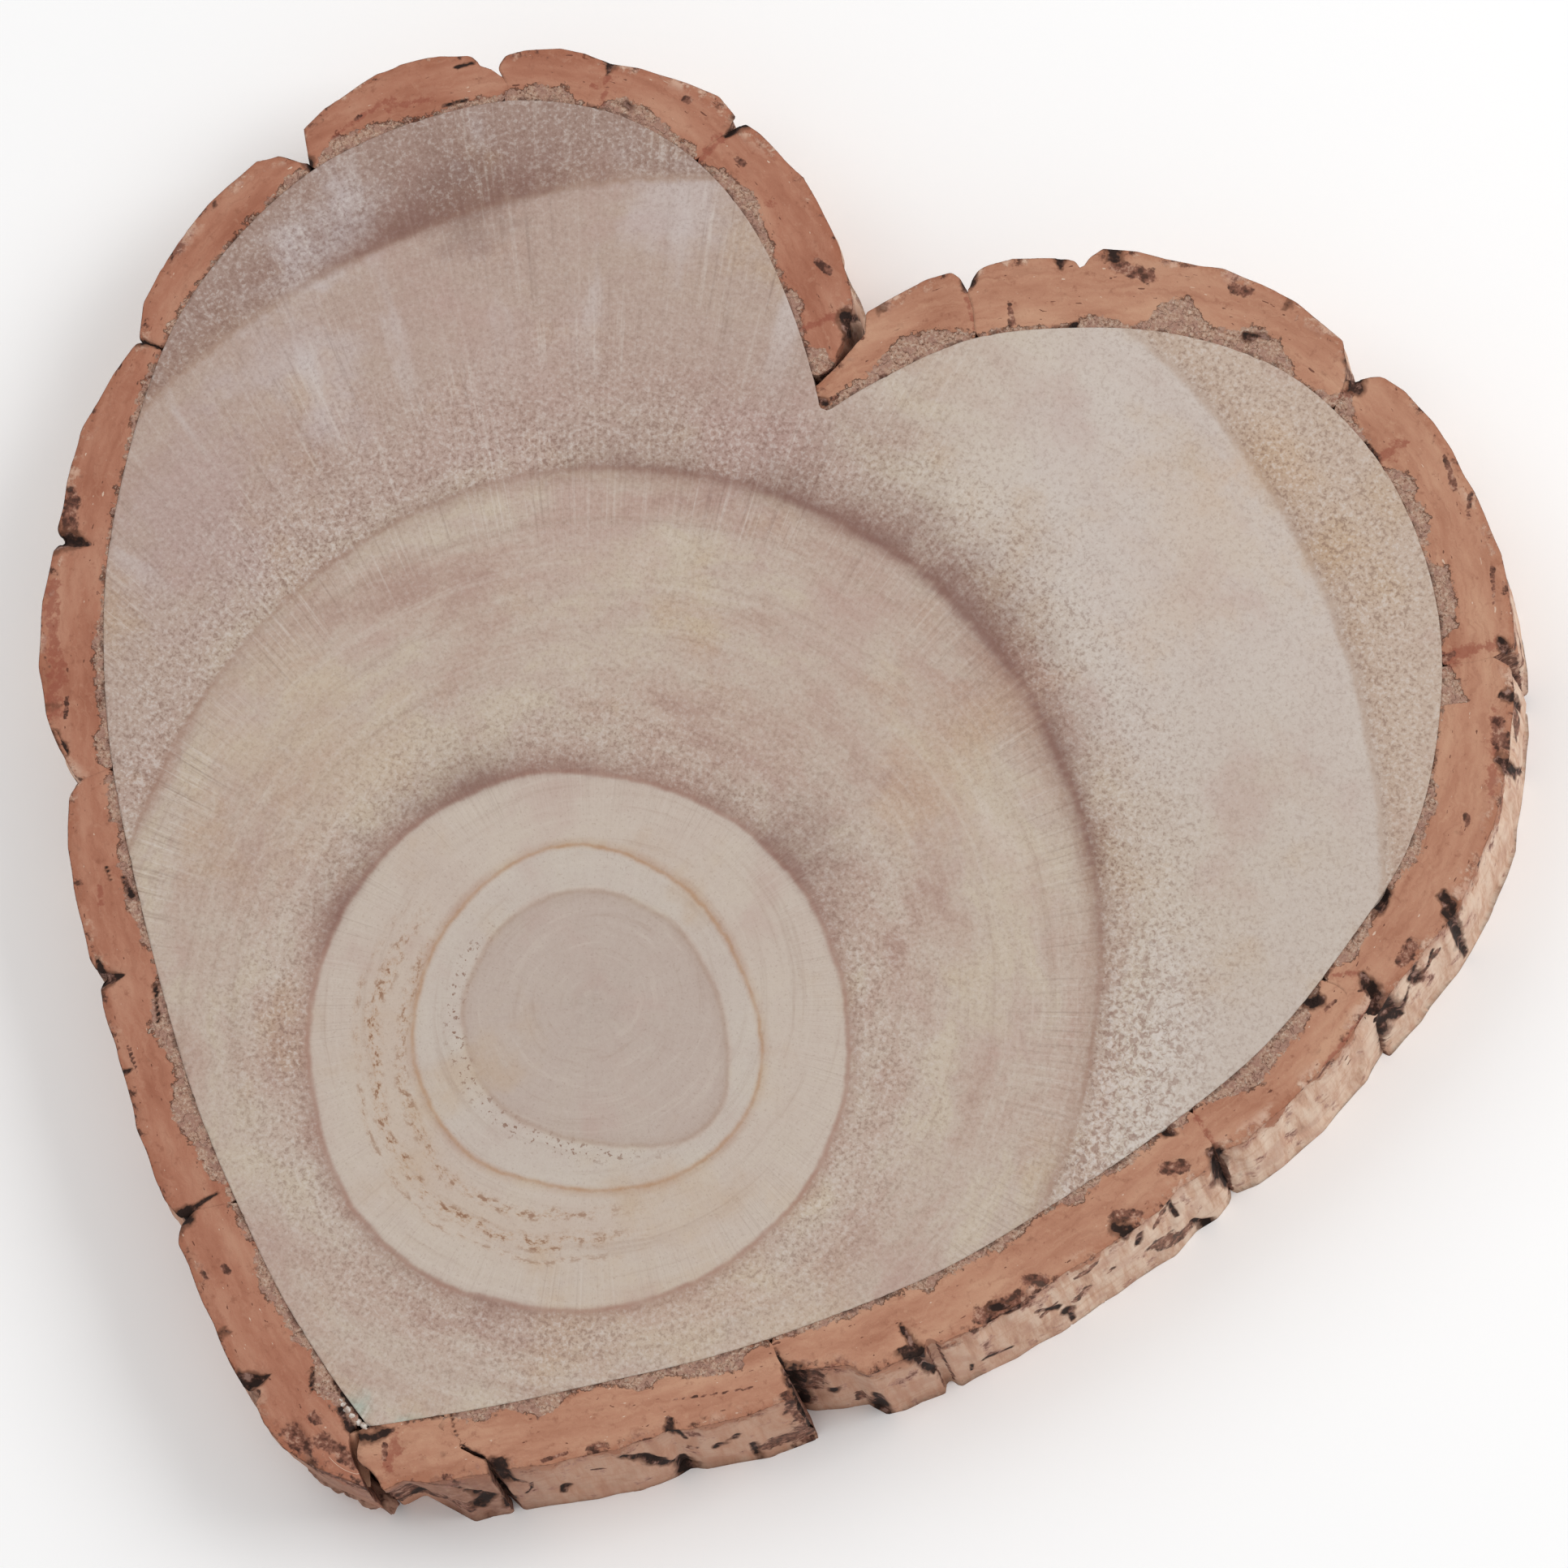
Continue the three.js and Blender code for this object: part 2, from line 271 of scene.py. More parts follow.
def make_wood_paint():
    paint, surface, place = new_material("pale_wood")
    inner = place.attribute("inner_rings").split()
    outer = place.attribute("outer_rings").split()
    rings = inner + outer[:2]
    x, y = place.split()[:2]
    grain = place.shifted((-PITH[0], -PITH[1], 0)).scaled(1, 1, 0.04)
    from_pith = grain.scaled(1, 1, 0)
    reach = from_pith.length()
    way = from_pith.node("VectorMath", {"operation": "NORMALIZE"}, {0: from_pith})
    sway = grain.noise(0.09, 3) - 0.5
    fine_sway = grain.noise(0.6, 3) - 0.5

    def around(turns, per_mm, detail=3, roughness=0.6):
        """Noise in polar order: so many changes round the pith, and so many per mm outwards."""
        climb = reach.node("CombineXYZ", {}, {2: reach * per_mm + sway})
        return way.scaled(turns, turns, turns).shifted(climb).noise(1.0, detail, roughness)

    # Broad tone: cream bands that follow the rings, from pinkish to yellowish.
    bands = around(2.5, 0.11, 5, 0.65)
    base = bands.ramp((0.30, "ad9184"), (0.42, "b8a193"), (0.52, "bdab9d"), (0.62, "c1b19f"),
                      (0.72, "c7b8a9"))
    near_4 = rings[3] + sway * 8
    near_5 = rings[4] + sway * 3
    # Tone of the wood between two rings: where it is, its colour and strength.
    zones = [
        (rings[0].rise(0.6, -0.6), "b8a89e", 0.85),
        (rings[0].rise(-0.3, 1.0) * rings[1].rise(0.2, -0.8), "c3b8ae", 0.75),
        (rings[1].rise(0.0, 1.5) * rings[2].rise(0.3, -0.8), "c4b6aa", 0.75),
        (near_4.rise(-1.0, 5.0) * x.rise(8.0, -12.0), "ae958a", 0.7),
        (near_4.rise(2.0, 12.0) * x.rise(4.0, 26.0), "cabfb7", 0.75),
        (near_4.rise(2.0, 12.0) * x.rise(30.0, 60.0) * y.rise(70.0, 20.0), "bcada0", 0.5),
        (near_5.rise(-0.5, 2.0) * x.rise(20.0, 30.0), "baa18d", 0.7),
        (near_5.rise(-0.5, 2.0) * x.rise(10.0, -10.0), "9b8075", 0.75),
    ]
    for share, tint, strength in zones:
        base = base.mixed(tint, share * strength)
    cloud = grain.shifted((40, 10, 0)).noise(0.05, 4, 0.6)
    for left, forward, size, tint, strength in PATCHES:
        away = from_pith.shifted((PITH[0] - left, PITH[1] - forward, 0)).length() * (1 / size)
        away = away + sway * 3 + fine_sway * 0.8
        base = base.mixed(tint, away.rise(1.1, 0.1) * strength)
    base = base.mixed("b99c7c", cloud.rise(0.54, 0.72) * 0.4)
    base = base.mixed("b3938a", cloud.rise(0.46, 0.30) * 0.35)

    # Faint growth lines between the rings.
    lines = around(0.8, 0.75, 4, 0.65)
    young = rings[3].rise(2.0, -2.0) * 0.16 + 0.08
    base = base.mixed("9a7f6e", lines.rise(0.53, 0.72) * young)
    base = base.mixed("cec2b6", lines.rise(0.47, 0.30) * young)

    # Rays: fine lines that run out from the pith, clearest in patches of the left lobe.
    rays = around(150, 0.04)
    ray_patches = cloud.rise(0.42, 0.60) * 0.24 + 0.05
    ray_share = rings[3].rise(-14.0, 2.0) * x.rise(24.0, -4.0) * ray_patches + 0.05
    ray_share = rings[2].hump(-3.0, 5.0) * 0.14 + rings[3].hump(-4.0, 7.0) * 0.22 + ray_share
    base = base.mixed("7d665b", rays.rise(0.53, 0.74) * ray_share)
    base = base.mixed("d3c9c0", rays.rise(0.47, 0.30) * ray_share)
    gleam = around(16, 0.03, 2)
    lobe = rings[3].rise(8.0, 26.0) * x.rise(10.0, -6.0)
    base = base.mixed("cbc2bf", gleam.rise(0.56, 0.74) * lobe * 0.45)

    # The rings: an uneven thin brown line with soft shade inside and outside it. A ring has the
    # colour, half width and strength of its line, and the width inside, outside and strength of its shade.
    edges = [ring + sway * 1.2 + fine_sway * 0.7 for ring in rings]
    uneven = around(7, 0.2) * 1.6
    ring_looks = [("a38a7a", 0.6, 0.40, 2.2, 0.6, 0.26), ("ab8260", 0.45, 0.60, 0.8, 1.6, 0.25),
                  ("9b7060", 0.6, 0.42, 0.7, 2.8, 0.42), ("95705f", 0.7, 0.42, 3.5, 2.5, 0.34),
                  ("a68770", 1.0, 0.25, 1.0, 5.0, 0.42)]
    for edge, (tint, width, dark, inside, outside, shade) in zip(edges, ring_looks):
        base = base.mixed(tint, edge.rise(-inside, 0.0) * edge.rise(outside, 0.0) * uneven * shade)
        base = base.mixed(tint, edge.hump(0.0, width) * uneven * dark)
    stain = (outer[2] * (0.55 + sway * 1.4 + rays * 0.6 + fine_sway * 0.5)).rise(0.02, 1.1)
    base = base.mixed("77524a", stain * 0.75)

    # Crumbly brown flecks in two arcs below the pith.
    below = way.node("VectorMath", {"operation": "DOT_PRODUCT"}, {0: way, 1: (-0.50, -0.87, 0)}, 1)
    crumbs = around(22, 1.2, 4, 0.7)
    drifting = rings[2] + sway * 4
    arcs = drifting.hump(-9.0, 1.7) + drifting.hump(-12.6, 1.4) * 0.8 + drifting.hump(-6.6, 0.8) * 0.5
    arcs = arcs * below.rise(0.25, 0.75)
    base = base.mixed("bc9f86", drifting.hump(-10.0, 6.0) * below.rise(0.30, 0.90) * 0.2)
    base = base.mixed("ab8058", crumbs.rise(0.44, 0.58) * arcs * 0.45)
    base = base.mixed("7c4c2c", crumbs.rise(0.54, 0.62) * arcs * 0.75)
    specks = grain.shifted((5, 9, 0)).noise(1.3, 3, 0.6)
    fringe = rings[0].hump(1.4, 2.2) * below.rise(0.0, 0.6)
    base = base.mixed("7d5540", specks.rise(0.58, 0.64) * fringe * 0.8)

    # Pores: a fine pebbled texture, coarser and darker just outside a ring, worm-like on the right, with
    # painted highlights on them.
    porous = rings[2].rise(0.0, 2.0) * 0.16 + 0.07
    for edge, strength, length in zip(edges[2:], (0.34, 0.42, 0.34), (18.0, 24.0, 40.0)):
        porous = edge.rise(0.0, 0.6) * edge.rise(length, 0.5) * strength + porous
    porous = (porous * (0.35 + cloud * 1.3)).math("MINIMUM", 1.0)
    dots = grain.noise(1.9, 3, 0.55, 0.3)
    worms = grain.shifted((31, 17, 0)).noise(1.15, 2, 0.5, 0.9)
    wormy = edges[3].rise(0.3, 2.0) * edges[3].rise(19.0, 9.0) * x.rise(30.0, 58.0) * y.rise(22.0, -6.0)
    base = base.mixed("7b5b4e", dots.rise(0.48, 0.34) * porous * 0.78)
    # Painted highlight: pale dots on the pebbled pores.
    base = base.mixed("d8d0ca", dots.rise(0.51, 0.66) * porous * (0.62 - stain * 0.52))
    base = base.mixed("94766a", worms.rise(0.47, 0.38) * wormy * 0.60)
    # Painted highlight: pale dashes on the worm-like pores.
    base = base.mixed("d6cdc7", worms.rise(0.51, 0.62) * wormy * 0.45)
    prick = grain.shifted((7, 3, 0)).noise(2.6, 2)
    base = base.mixed("8a6f60", prick.rise(0.60, 0.72) * 0.22)

    height = dots * (porous * 0.8 + 0.35) + worms * wormy + lines * 0.25 + rays * 0.2
    finish_material(surface, base, 0.70 + prick * 0.15, height, 0.13)
    surface.inputs["Specular IOR Level"].default_value = 0.3
    return paint


def make_wood_heart():
    mesh = finely_meshed("wood_heart", WOOD_FACE * MM)
    points = read_points(mesh) / MM
    out = points[:, :2] - PITH
    reach, angle = np.hypot(*out.T), np.arctan2(out[:, 1], out[:, 0])
    # How far outside each ring a point lies. Eight waves round the pith draw a ring smoothly.
    fields = []
    for ring in RING_REACH:
        waves = np.fft.rfft(ring) / len(ring)
        radius = np.full(len(points), waves[0].real)
        for turn, wave in enumerate(waves[1:9], 1):
            radius += 2 * (wave * np.exp(1j * turn * angle)).real
        fields.append(reach - radius)
    stain = np.zeros(len(points))
    for ring, middle, half, length, strength in STAINS:
        turn = (np.degrees(angle) - middle + 180) % 360 - 180
        outside = fields[ring - 1]
        fall = np.exp(-np.abs(outside) / np.where(outside * length > 0, abs(length), 0.8))
        stain += strength * np.exp(-(turn / half) ** 2) * fall
    write_attribute(mesh, "inner_rings", fields[:3])
    write_attribute(mesh, "outer_rings", [fields[3], fields[4], stain])
    add_piece("wood", mesh, "wood_heart", make_wood_paint())


make_wood_heart()

# The bark is fifteen short lengths of cork bark, split where they had to bend and glued round
# the rim. Each has a flat sawn face above and below, a crumbly, grainy layer next to the wood,
# firm tan cork with pits outside it, and a pale weathered back with dark upright cracks.
BARK_FACE = 0.45
CLEFT = (-7.0, 58.6)
# Room between the bark and the CAD box.
BOX_MARGIN = 0.05
# Share of a mark's depth that is cut into the bark.
CUT_SHARE = 0.6
# Width of the grainy inner layer: [way along the rim from the cleft, width of the layer].
LEFT_GRAIN = [
    (0, 0.6), (2, 2.4), (6, 3.2), (9, 2.6), (10, 0.6), (13, 0.5), (15, 1.2), (16.5, 1.9), (18, 1.2),
    (19, 0.4), (24, 0.6), (26, 1.4), (28, 1.3), (30, 2.2), (33, 2.9), (34.5, 2.2), (38, 1.7),
    (40, 0.6), (41, 0.2), (43, 1.3), (46, 1.2), (49, 1.8),
    (52, 2.5), (55, 2.5), (56.8, 1.4), (57.5, 0.1), (60.8, 0.2), (62, 2.2), (66, 2.4), (70, 1.5),
    (71.5, 0.8), (75, 1.2), (78, 1.1), (82, 0.3), (85, 0.9), (88, 1.8), (91, 2.0), (93, 2.9), (95, 2.3),
    (97, 0.6), (98.6, 0.3), (100.5, 1.6), (102, 1.5), (103, 0.6), (110, 0.6), (120, 0.3), (125, 0.4),
    (127, 1.0), (129, 0.4), (133, 0.5), (136, 1.1), (140, 0.9), (144, 0.4), (156, 0.5), (168, 0.4),
    (171, 1.1), (175, 1.5), (180, 1.1), (184, 0.8), (187, 2.0), (190, 1.9), (191, 0.2), (192.5, 1.4),
    (195, 1.6), (198, 1.3), (200, 0.4), (203, 1.4), (205, 1.8), (206.5, 1.1), (208, 1.9), (211, 1.9),
    (213, 1.1), (216, 1.1), (217, 0.2), (220, 0.2), (222, 0.9), (225, 2.0), (227, 3.0), (229, 2.4),
    (231, 2.0), (234, 1.3), (236, 1.9), (239, 3.6), (242, 3.1), (245, 2.3), (247, 2.3), (250, 1.9),
    (251.5, 0.3), (254, 1.0), (259, 0.9), (261, 0.4), (264, 1.4), (267, 2.2), (270, 1.5), (275, 1.5),
    (277, 0.4), (279, 1.3), (282, 3.3), (284, 2.2), (287, 2.0), (291, 1.0),
]
RIGHT_GRAIN = [
    (0, 0.3), (3, 1.0), (8, 1.5), (11, 2.7), (14, 3.9), (16, 3.6), (19, 2.9), (22, 1.5), (23.5, 0.5),
    (30, 0.6), (36, 0.3), (38, 1.6), (42, 1.6), (44, 0.5), (46, 1.0), (47, 3.0), (49, 5.2), (51, 5.4),
    (52.5, 4.0), (54, 2.3), (57, 2.2), (59, 3.7), (61, 4.1), (63, 3.6), (65, 2.2), (67, 0.8), (68, 0.2),
    (71, 0.4), (73, 1.5), (74.5, 3.3), (76, 2.2), (78, 0.9), (82, 0.4), (86, 0.3), (87.2, 2.2), (88.5, 2.6),
    (91, 1.8), (94, 2.3), (96, 1.8), (98, 0.5), (100, 0.7), (101.5, 2.4), (104, 2.7), (107, 2.4),
    (109.5, 2.2), (111, 0.3), (114, 0.3), (116, 1.6), (118, 2.8), (119.6, 3.9), (120, 0.3), (129, 0.3),
    (132, 1.2), (134, 1.8), (137, 1.1), (139, 1.9), (141, 2.0), (143, 1.0), (146, 0.7), (150, 0.8),
    (154, 1.8), (157, 2.0), (158.5, 0.3), (162, 0.4), (165, 1.6), (169, 2.6), (172, 2.3), (174, 3.0),
    (177, 3.6), (179, 2.6), (181, 2.0), (183, 0.8), (185, 0.3), (188, 1.2), (191, 0.3), (194, 0.8),
    (197, 1.1), (200, 0.7), (203, 1.4), (205, 2.0), (206.5, 0.6), (210, 0.4), (213, 1.2), (216, 1.5),
    (220, 1.0), (225, 0.8), (227, 2.1), (229, 0.5), (236, 0.8), (243, 0.9), (248, 0.3), (252, 0.5),
    (253.3, 3.0), (256, 2.6), (260, 2.2), (262, 0.9), (265, 1.8), (267, 2.1), (269, 0.7), (276, 0.4),
    (278, 2.2), (280, 2.6), (283, 1.4), (285, 0.7), (287.5, 1.7), (290, 1.4), (291.5, 0.2), (303, 0.2),
]
# Marks on the upper sawn face: kind (0 black crack, 1 brown pit, 2 red smear), the two ends as
# places [along the rim, out from the wood], the half width at each end, and the depth.
LEFT_MARKS = [
    (0, 9.0, 7.2, 12.4, 6.2, 1.2, 0.9, 1.6), (2, 12.9, 5.5, 12.8, 0.8, 0.8, 0.6, 0.2),
    (1, 8.0, 5.4, 13.0, 7.4, 0.9, 1.2, 0.6),
    (0, 41.0, 8.6, 41.3, 5.2, 1.0, 0.3, 2.0), (2, 41.3, 5.0, 41.5, 0.4, 0.8, 0.6, 0.1),
    (1, 47.5, 6.3, 47.7, 5.9, 0.6, 0.5, 0.4), (2, 30.4, 3.7, 30.9, 3.4, 0.8, 0.6, 0.2),
    (1, 37.0, 4.2, 38.2, 4.0, 0.6, 0.4, 0.4), (1, 19.0, 6.6, 21.0, 5.6, 0.7, 0.5, 0.1),
    (0, 53.6, 1.7, 54.2, 1.8, 0.5, 0.4, 0.8), (0, 57.8, 7.2, 57.6, 5.2, 0.8, 0.25, 1.2),
    (2, 57.5, 5.0, 57.1, 0.6, 0.5, 0.4, 0.1), (2, 58.0, 3.0, 59.4, 3.0, 0.5, 0.4, 0.2),
    (0, 74.0, 6.2, 76.2, 6.1, 0.3, 0.2, 0.3), (0, 75.5, 1.1, 79.0, 1.1, 0.25, 0.2, 0.3),
    (2, 80.0, 2.6, 86.0, 3.2, 0.5, 0.7, 0.2), (2, 85.0, 4.4, 94.0, 2.6, 0.6, 0.5, 0.2),
    (1, 89.6, 3.7, 90.4, 3.6, 0.35, 0.25, 0.3), (0, 98.4, 1.6, 98.5, 0.2, 0.7, 0.4, 1.5),
    (0, 130.8, 4.0, 130.7, 0.4, 0.5, 0.25, 1.5), (1, 133.0, 5.0, 136.0, 4.9, 0.4, 0.2, 0.2),
    (0, 158.9, 7.8, 159.2, 2.6, 1.8, 0.2, 3.0), (1, 153.0, 6.4, 158.0, 5.8, 1.2, 1.2, 0.3),
    (2, 165.0, 7.2, 182.0, 7.0, 1.2, 1.2, 0.2), (2, 172.0, 6.6, 178.0, 5.6, 0.6, 0.8, 0.2),
    (0, 184.6, 7.2, 187.6, 5.9, 0.5, 0.4, 0.8), (1, 180.0, 5.2, 183.0, 5.6, 0.3, 0.3, 0.3),
    (2, 206.5, 4.9, 209.0, 5.1, 0.4, 0.5, 0.1), (0, 204.2, 3.4, 206.0, 3.2, 0.25, 0.2, 0.3),
    (0, 206.0, 1.6, 209.0, 0.9, 0.2, 0.4, 0.5), (0, 219.0, 8.2, 219.2, 4.6, 1.7, 0.2, 2.6),
    (0, 216.0, 7.4, 218.0, 7.2, 0.3, 0.5, 0.8), (0, 232.0, 7.8, 232.1, 6.6, 0.5, 0.2, 1.0),
    (0, 222.0, 0.7, 227.0, 1.6, 0.3, 0.2, 0.4), (1, 229.0, 6.3, 233.0, 6.2, 0.3, 0.2, 0.2),
    (0, 253.2, 8.7, 252.4, 5.0, 1.6, 0.35, 2.6), (0, 252.3, 5.0, 252.0, 1.6, 0.35, 0.2, 0.8),
    (1, 261.6, 5.2, 262.5, 4.9, 0.6, 0.5, 0.4), (1, 260.8, 8.0, 262.0, 8.0, 0.4, 0.4, 0.3),
    (0, 276.0, 10.8, 276.9, 6.8, 1.6, 0.2, 3.0), (1, 285.0, 8.6, 287.4, 8.0, 1.7, 1.2, 2.0),
    (1, 284.6, 5.0, 285.6, 4.8, 0.8, 0.7, 0.7), (0, 288.5, 10.6, 290.0, 9.6, 0.8, 1.0, 1.5),
    (0, 279.4, 1.4, 281.8, 3.2, 0.2, 0.2, 0.3), (0, 286.0, 1.6, 289.8, 2.2, 0.4, 0.5, 1.0),
    (0, 282.5, 0.2, 289.0, 0.2, 0.25, 0.3, 0.5), (1, 288.0, 6.0, 290.4, 5.0, 1.4, 1.0, 0.8),
]
RIGHT_MARKS = [
    (0, 1.1, 2.8, 1.5, 1.4, 0.25, 0.6, 1.2), (0, 9.6, 0.3, 10.2, 0.2, 0.3, 0.3, 0.5),
    (1, 2.6, 1.2, 3.4, 1.0, 0.4, 0.3, 0.5), (0, 24.3, 9.8, 23.6, 7.0, 0.9, 0.3, 2.0),
    (2, 23.6, 6.8, 23.4, 1.4, 0.5, 0.4, 0.1), (0, 34.6, 10.2, 34.9, 8.4, 0.8, 0.3, 1.2),
    (1, 28.2, 4.2, 28.4, 1.2, 0.3, 0.6, 0.9), (0, 36.3, 0.2, 36.9, 0.7, 0.5, 0.3, 1.0),
    (1, 41.6, 8.8, 45.6, 7.6, 1.0, 1.2, 0.3), (1, 56.0, 8.3, 57.4, 8.2, 1.0, 0.9, 0.5),
    (0, 59.4, 2.4, 60.2, 2.6, 0.6, 0.5, 1.0), (0, 61.0, 3.1, 62.2, 3.2, 0.4, 0.3, 0.8),
    (1, 63.8, 7.6, 64.0, 6.9, 0.3, 0.3, 0.3), (0, 72.4, 7.0, 74.4, 4.4, 1.2, 1.0, 2.5),
    (2, 74.6, 3.8, 73.8, 1.0, 0.7, 0.5, 0.2), (2, 84.0, 4.6, 84.1, 0.4, 0.5, 1.6, 0.1),
    (0, 81.0, 0.2, 84.5, 0.1, 0.25, 0.3, 0.4), (1, 88.0, 7.8, 92.0, 7.0, 0.3, 0.7, 0.3),
    (1, 93.4, 8.6, 96.0, 7.2, 0.4, 0.3, 0.3), (1, 103.0, 8.2, 107.5, 7.4, 0.4, 0.3, 0.3),
    (0, 111.8, 7.8, 113.6, 9.0, 0.5, 0.8, 1.4), (2, 112.2, 7.2, 112.6, 4.4, 1.0, 1.0, 0.4),
    (2, 112.6, 4.4, 113.8, 0.4, 1.0, 1.6, 0.3), (1, 113.0, 1.6, 113.8, 0.2, 0.4, 0.6, 0.5),
    (1, 121.6, 7.6, 124.4, 8.4, 1.0, 1.3, 0.6), (2, 121.0, 7.4, 131.0, 8.4, 1.0, 1.0, 0.4),
    (0, 126.4, 8.2, 127.4, 9.6, 0.5, 0.8, 1.0), (1, 134.2, 6.0, 135.0, 6.3, 0.6, 0.4, 0.3),
    (0, 143.6, 6.8, 145.2, 9.6, 0.4, 0.9, 1.6), (0, 146.8, 0.3, 149.0, 0.7, 0.8, 0.8, 2.0),
    (1, 151.0, 7.2, 153.4, 7.4, 1.2, 1.0, 1.2), (0, 157.8, 4.2, 159.6, 8.6, 0.5, 1.5, 3.0),
    (2, 158.0, 3.4, 160.0, 0.8, 0.5, 0.4, 0.3), (0, 163.8, 1.6, 164.6, 0.9, 0.9, 0.8, 2.2),
    (2, 162.0, 7.4, 170.0, 7.6, 0.4, 0.4, 0.3), (1, 162.6, 3.2, 164.2, 3.0, 0.3, 0.3, 0.3),
    (0, 186.4, 8.4, 186.2, 6.6, 1.3, 0.5, 3.0), (2, 186.2, 6.4, 185.6, 0.8, 0.6, 0.5, 0.2),
    (0, 189.4, 1.2, 190.2, 0.3, 0.4, 0.8, 1.8), (1, 191.0, 5.6, 193.0, 4.4, 1.1, 1.0, 1.2),
    (1, 199.0, 7.4, 201.4, 6.0, 0.7, 1.2, 0.8), (0, 202.0, 8.8, 202.4, 7.0, 0.7, 0.8, 1.2),
    (1, 213.8, 8.0, 215.6, 6.8, 0.9, 0.9, 0.5), (1, 217.6, 8.6, 222.6, 7.8, 1.3, 1.4, 1.0),
    (0, 219.4, 8.6, 221.4, 7.4, 0.5, 0.5, 1.2), (0, 231.4, 9.6, 232.1, 4.4, 1.0, 0.2, 2.6),
    (0, 245.4, 6.8, 247.8, 6.4, 0.8, 1.0, 2.2), (0, 248.0, 6.0, 248.3, 1.6, 0.5, 0.15, 1.2),
    (1, 243.4, 7.2, 246.0, 8.2, 1.2, 1.4, 0.9),
    (0, 262.4, 10.0, 264.0, 8.2, 0.5, 0.6, 1.0), (1, 252.5, 5.6, 263.0, 4.3, 0.16, 0.12, 0.1),
    (1, 272.8, 8.6, 274.2, 8.4, 0.8, 0.9, 0.8), (1, 266.6, 8.8, 268.2, 9.0, 0.3, 0.3, 0.4),
    (0, 286.4, 9.6, 287.4, 7.4, 1.2, 0.6, 2.2), (0, 288.0, 6.8, 290.4, 4.9, 0.22, 0.18, 0.6),
    (0, 290.4, 4.9, 291.3, 3.4, 0.18, 0.18, 0.6), (0, 291.3, 3.4, 291.6, 0.5, 0.18, 0.18, 0.6),
    (1, 277.6, 8.2, 281.0, 8.6, 0.3, 0.3, 0.3), (1, 292.6, 8.4, 293.6, 8.2, 0.4, 0.4, 0.4),
    (0, 293.0, 0.1, 298.0, 0.1, 0.2, 0.2, 0.4), (0, 299.6, 0.9, 302.0, 1.3, 0.3, 0.9, 0.8),
    (2, 299.4, 3.2, 300.8, 5.4, 1.6, 1.3, 0.4), (1, 300.8, 2.8, 301.2, 4.6, 0.5, 0.4, 0.4),
]
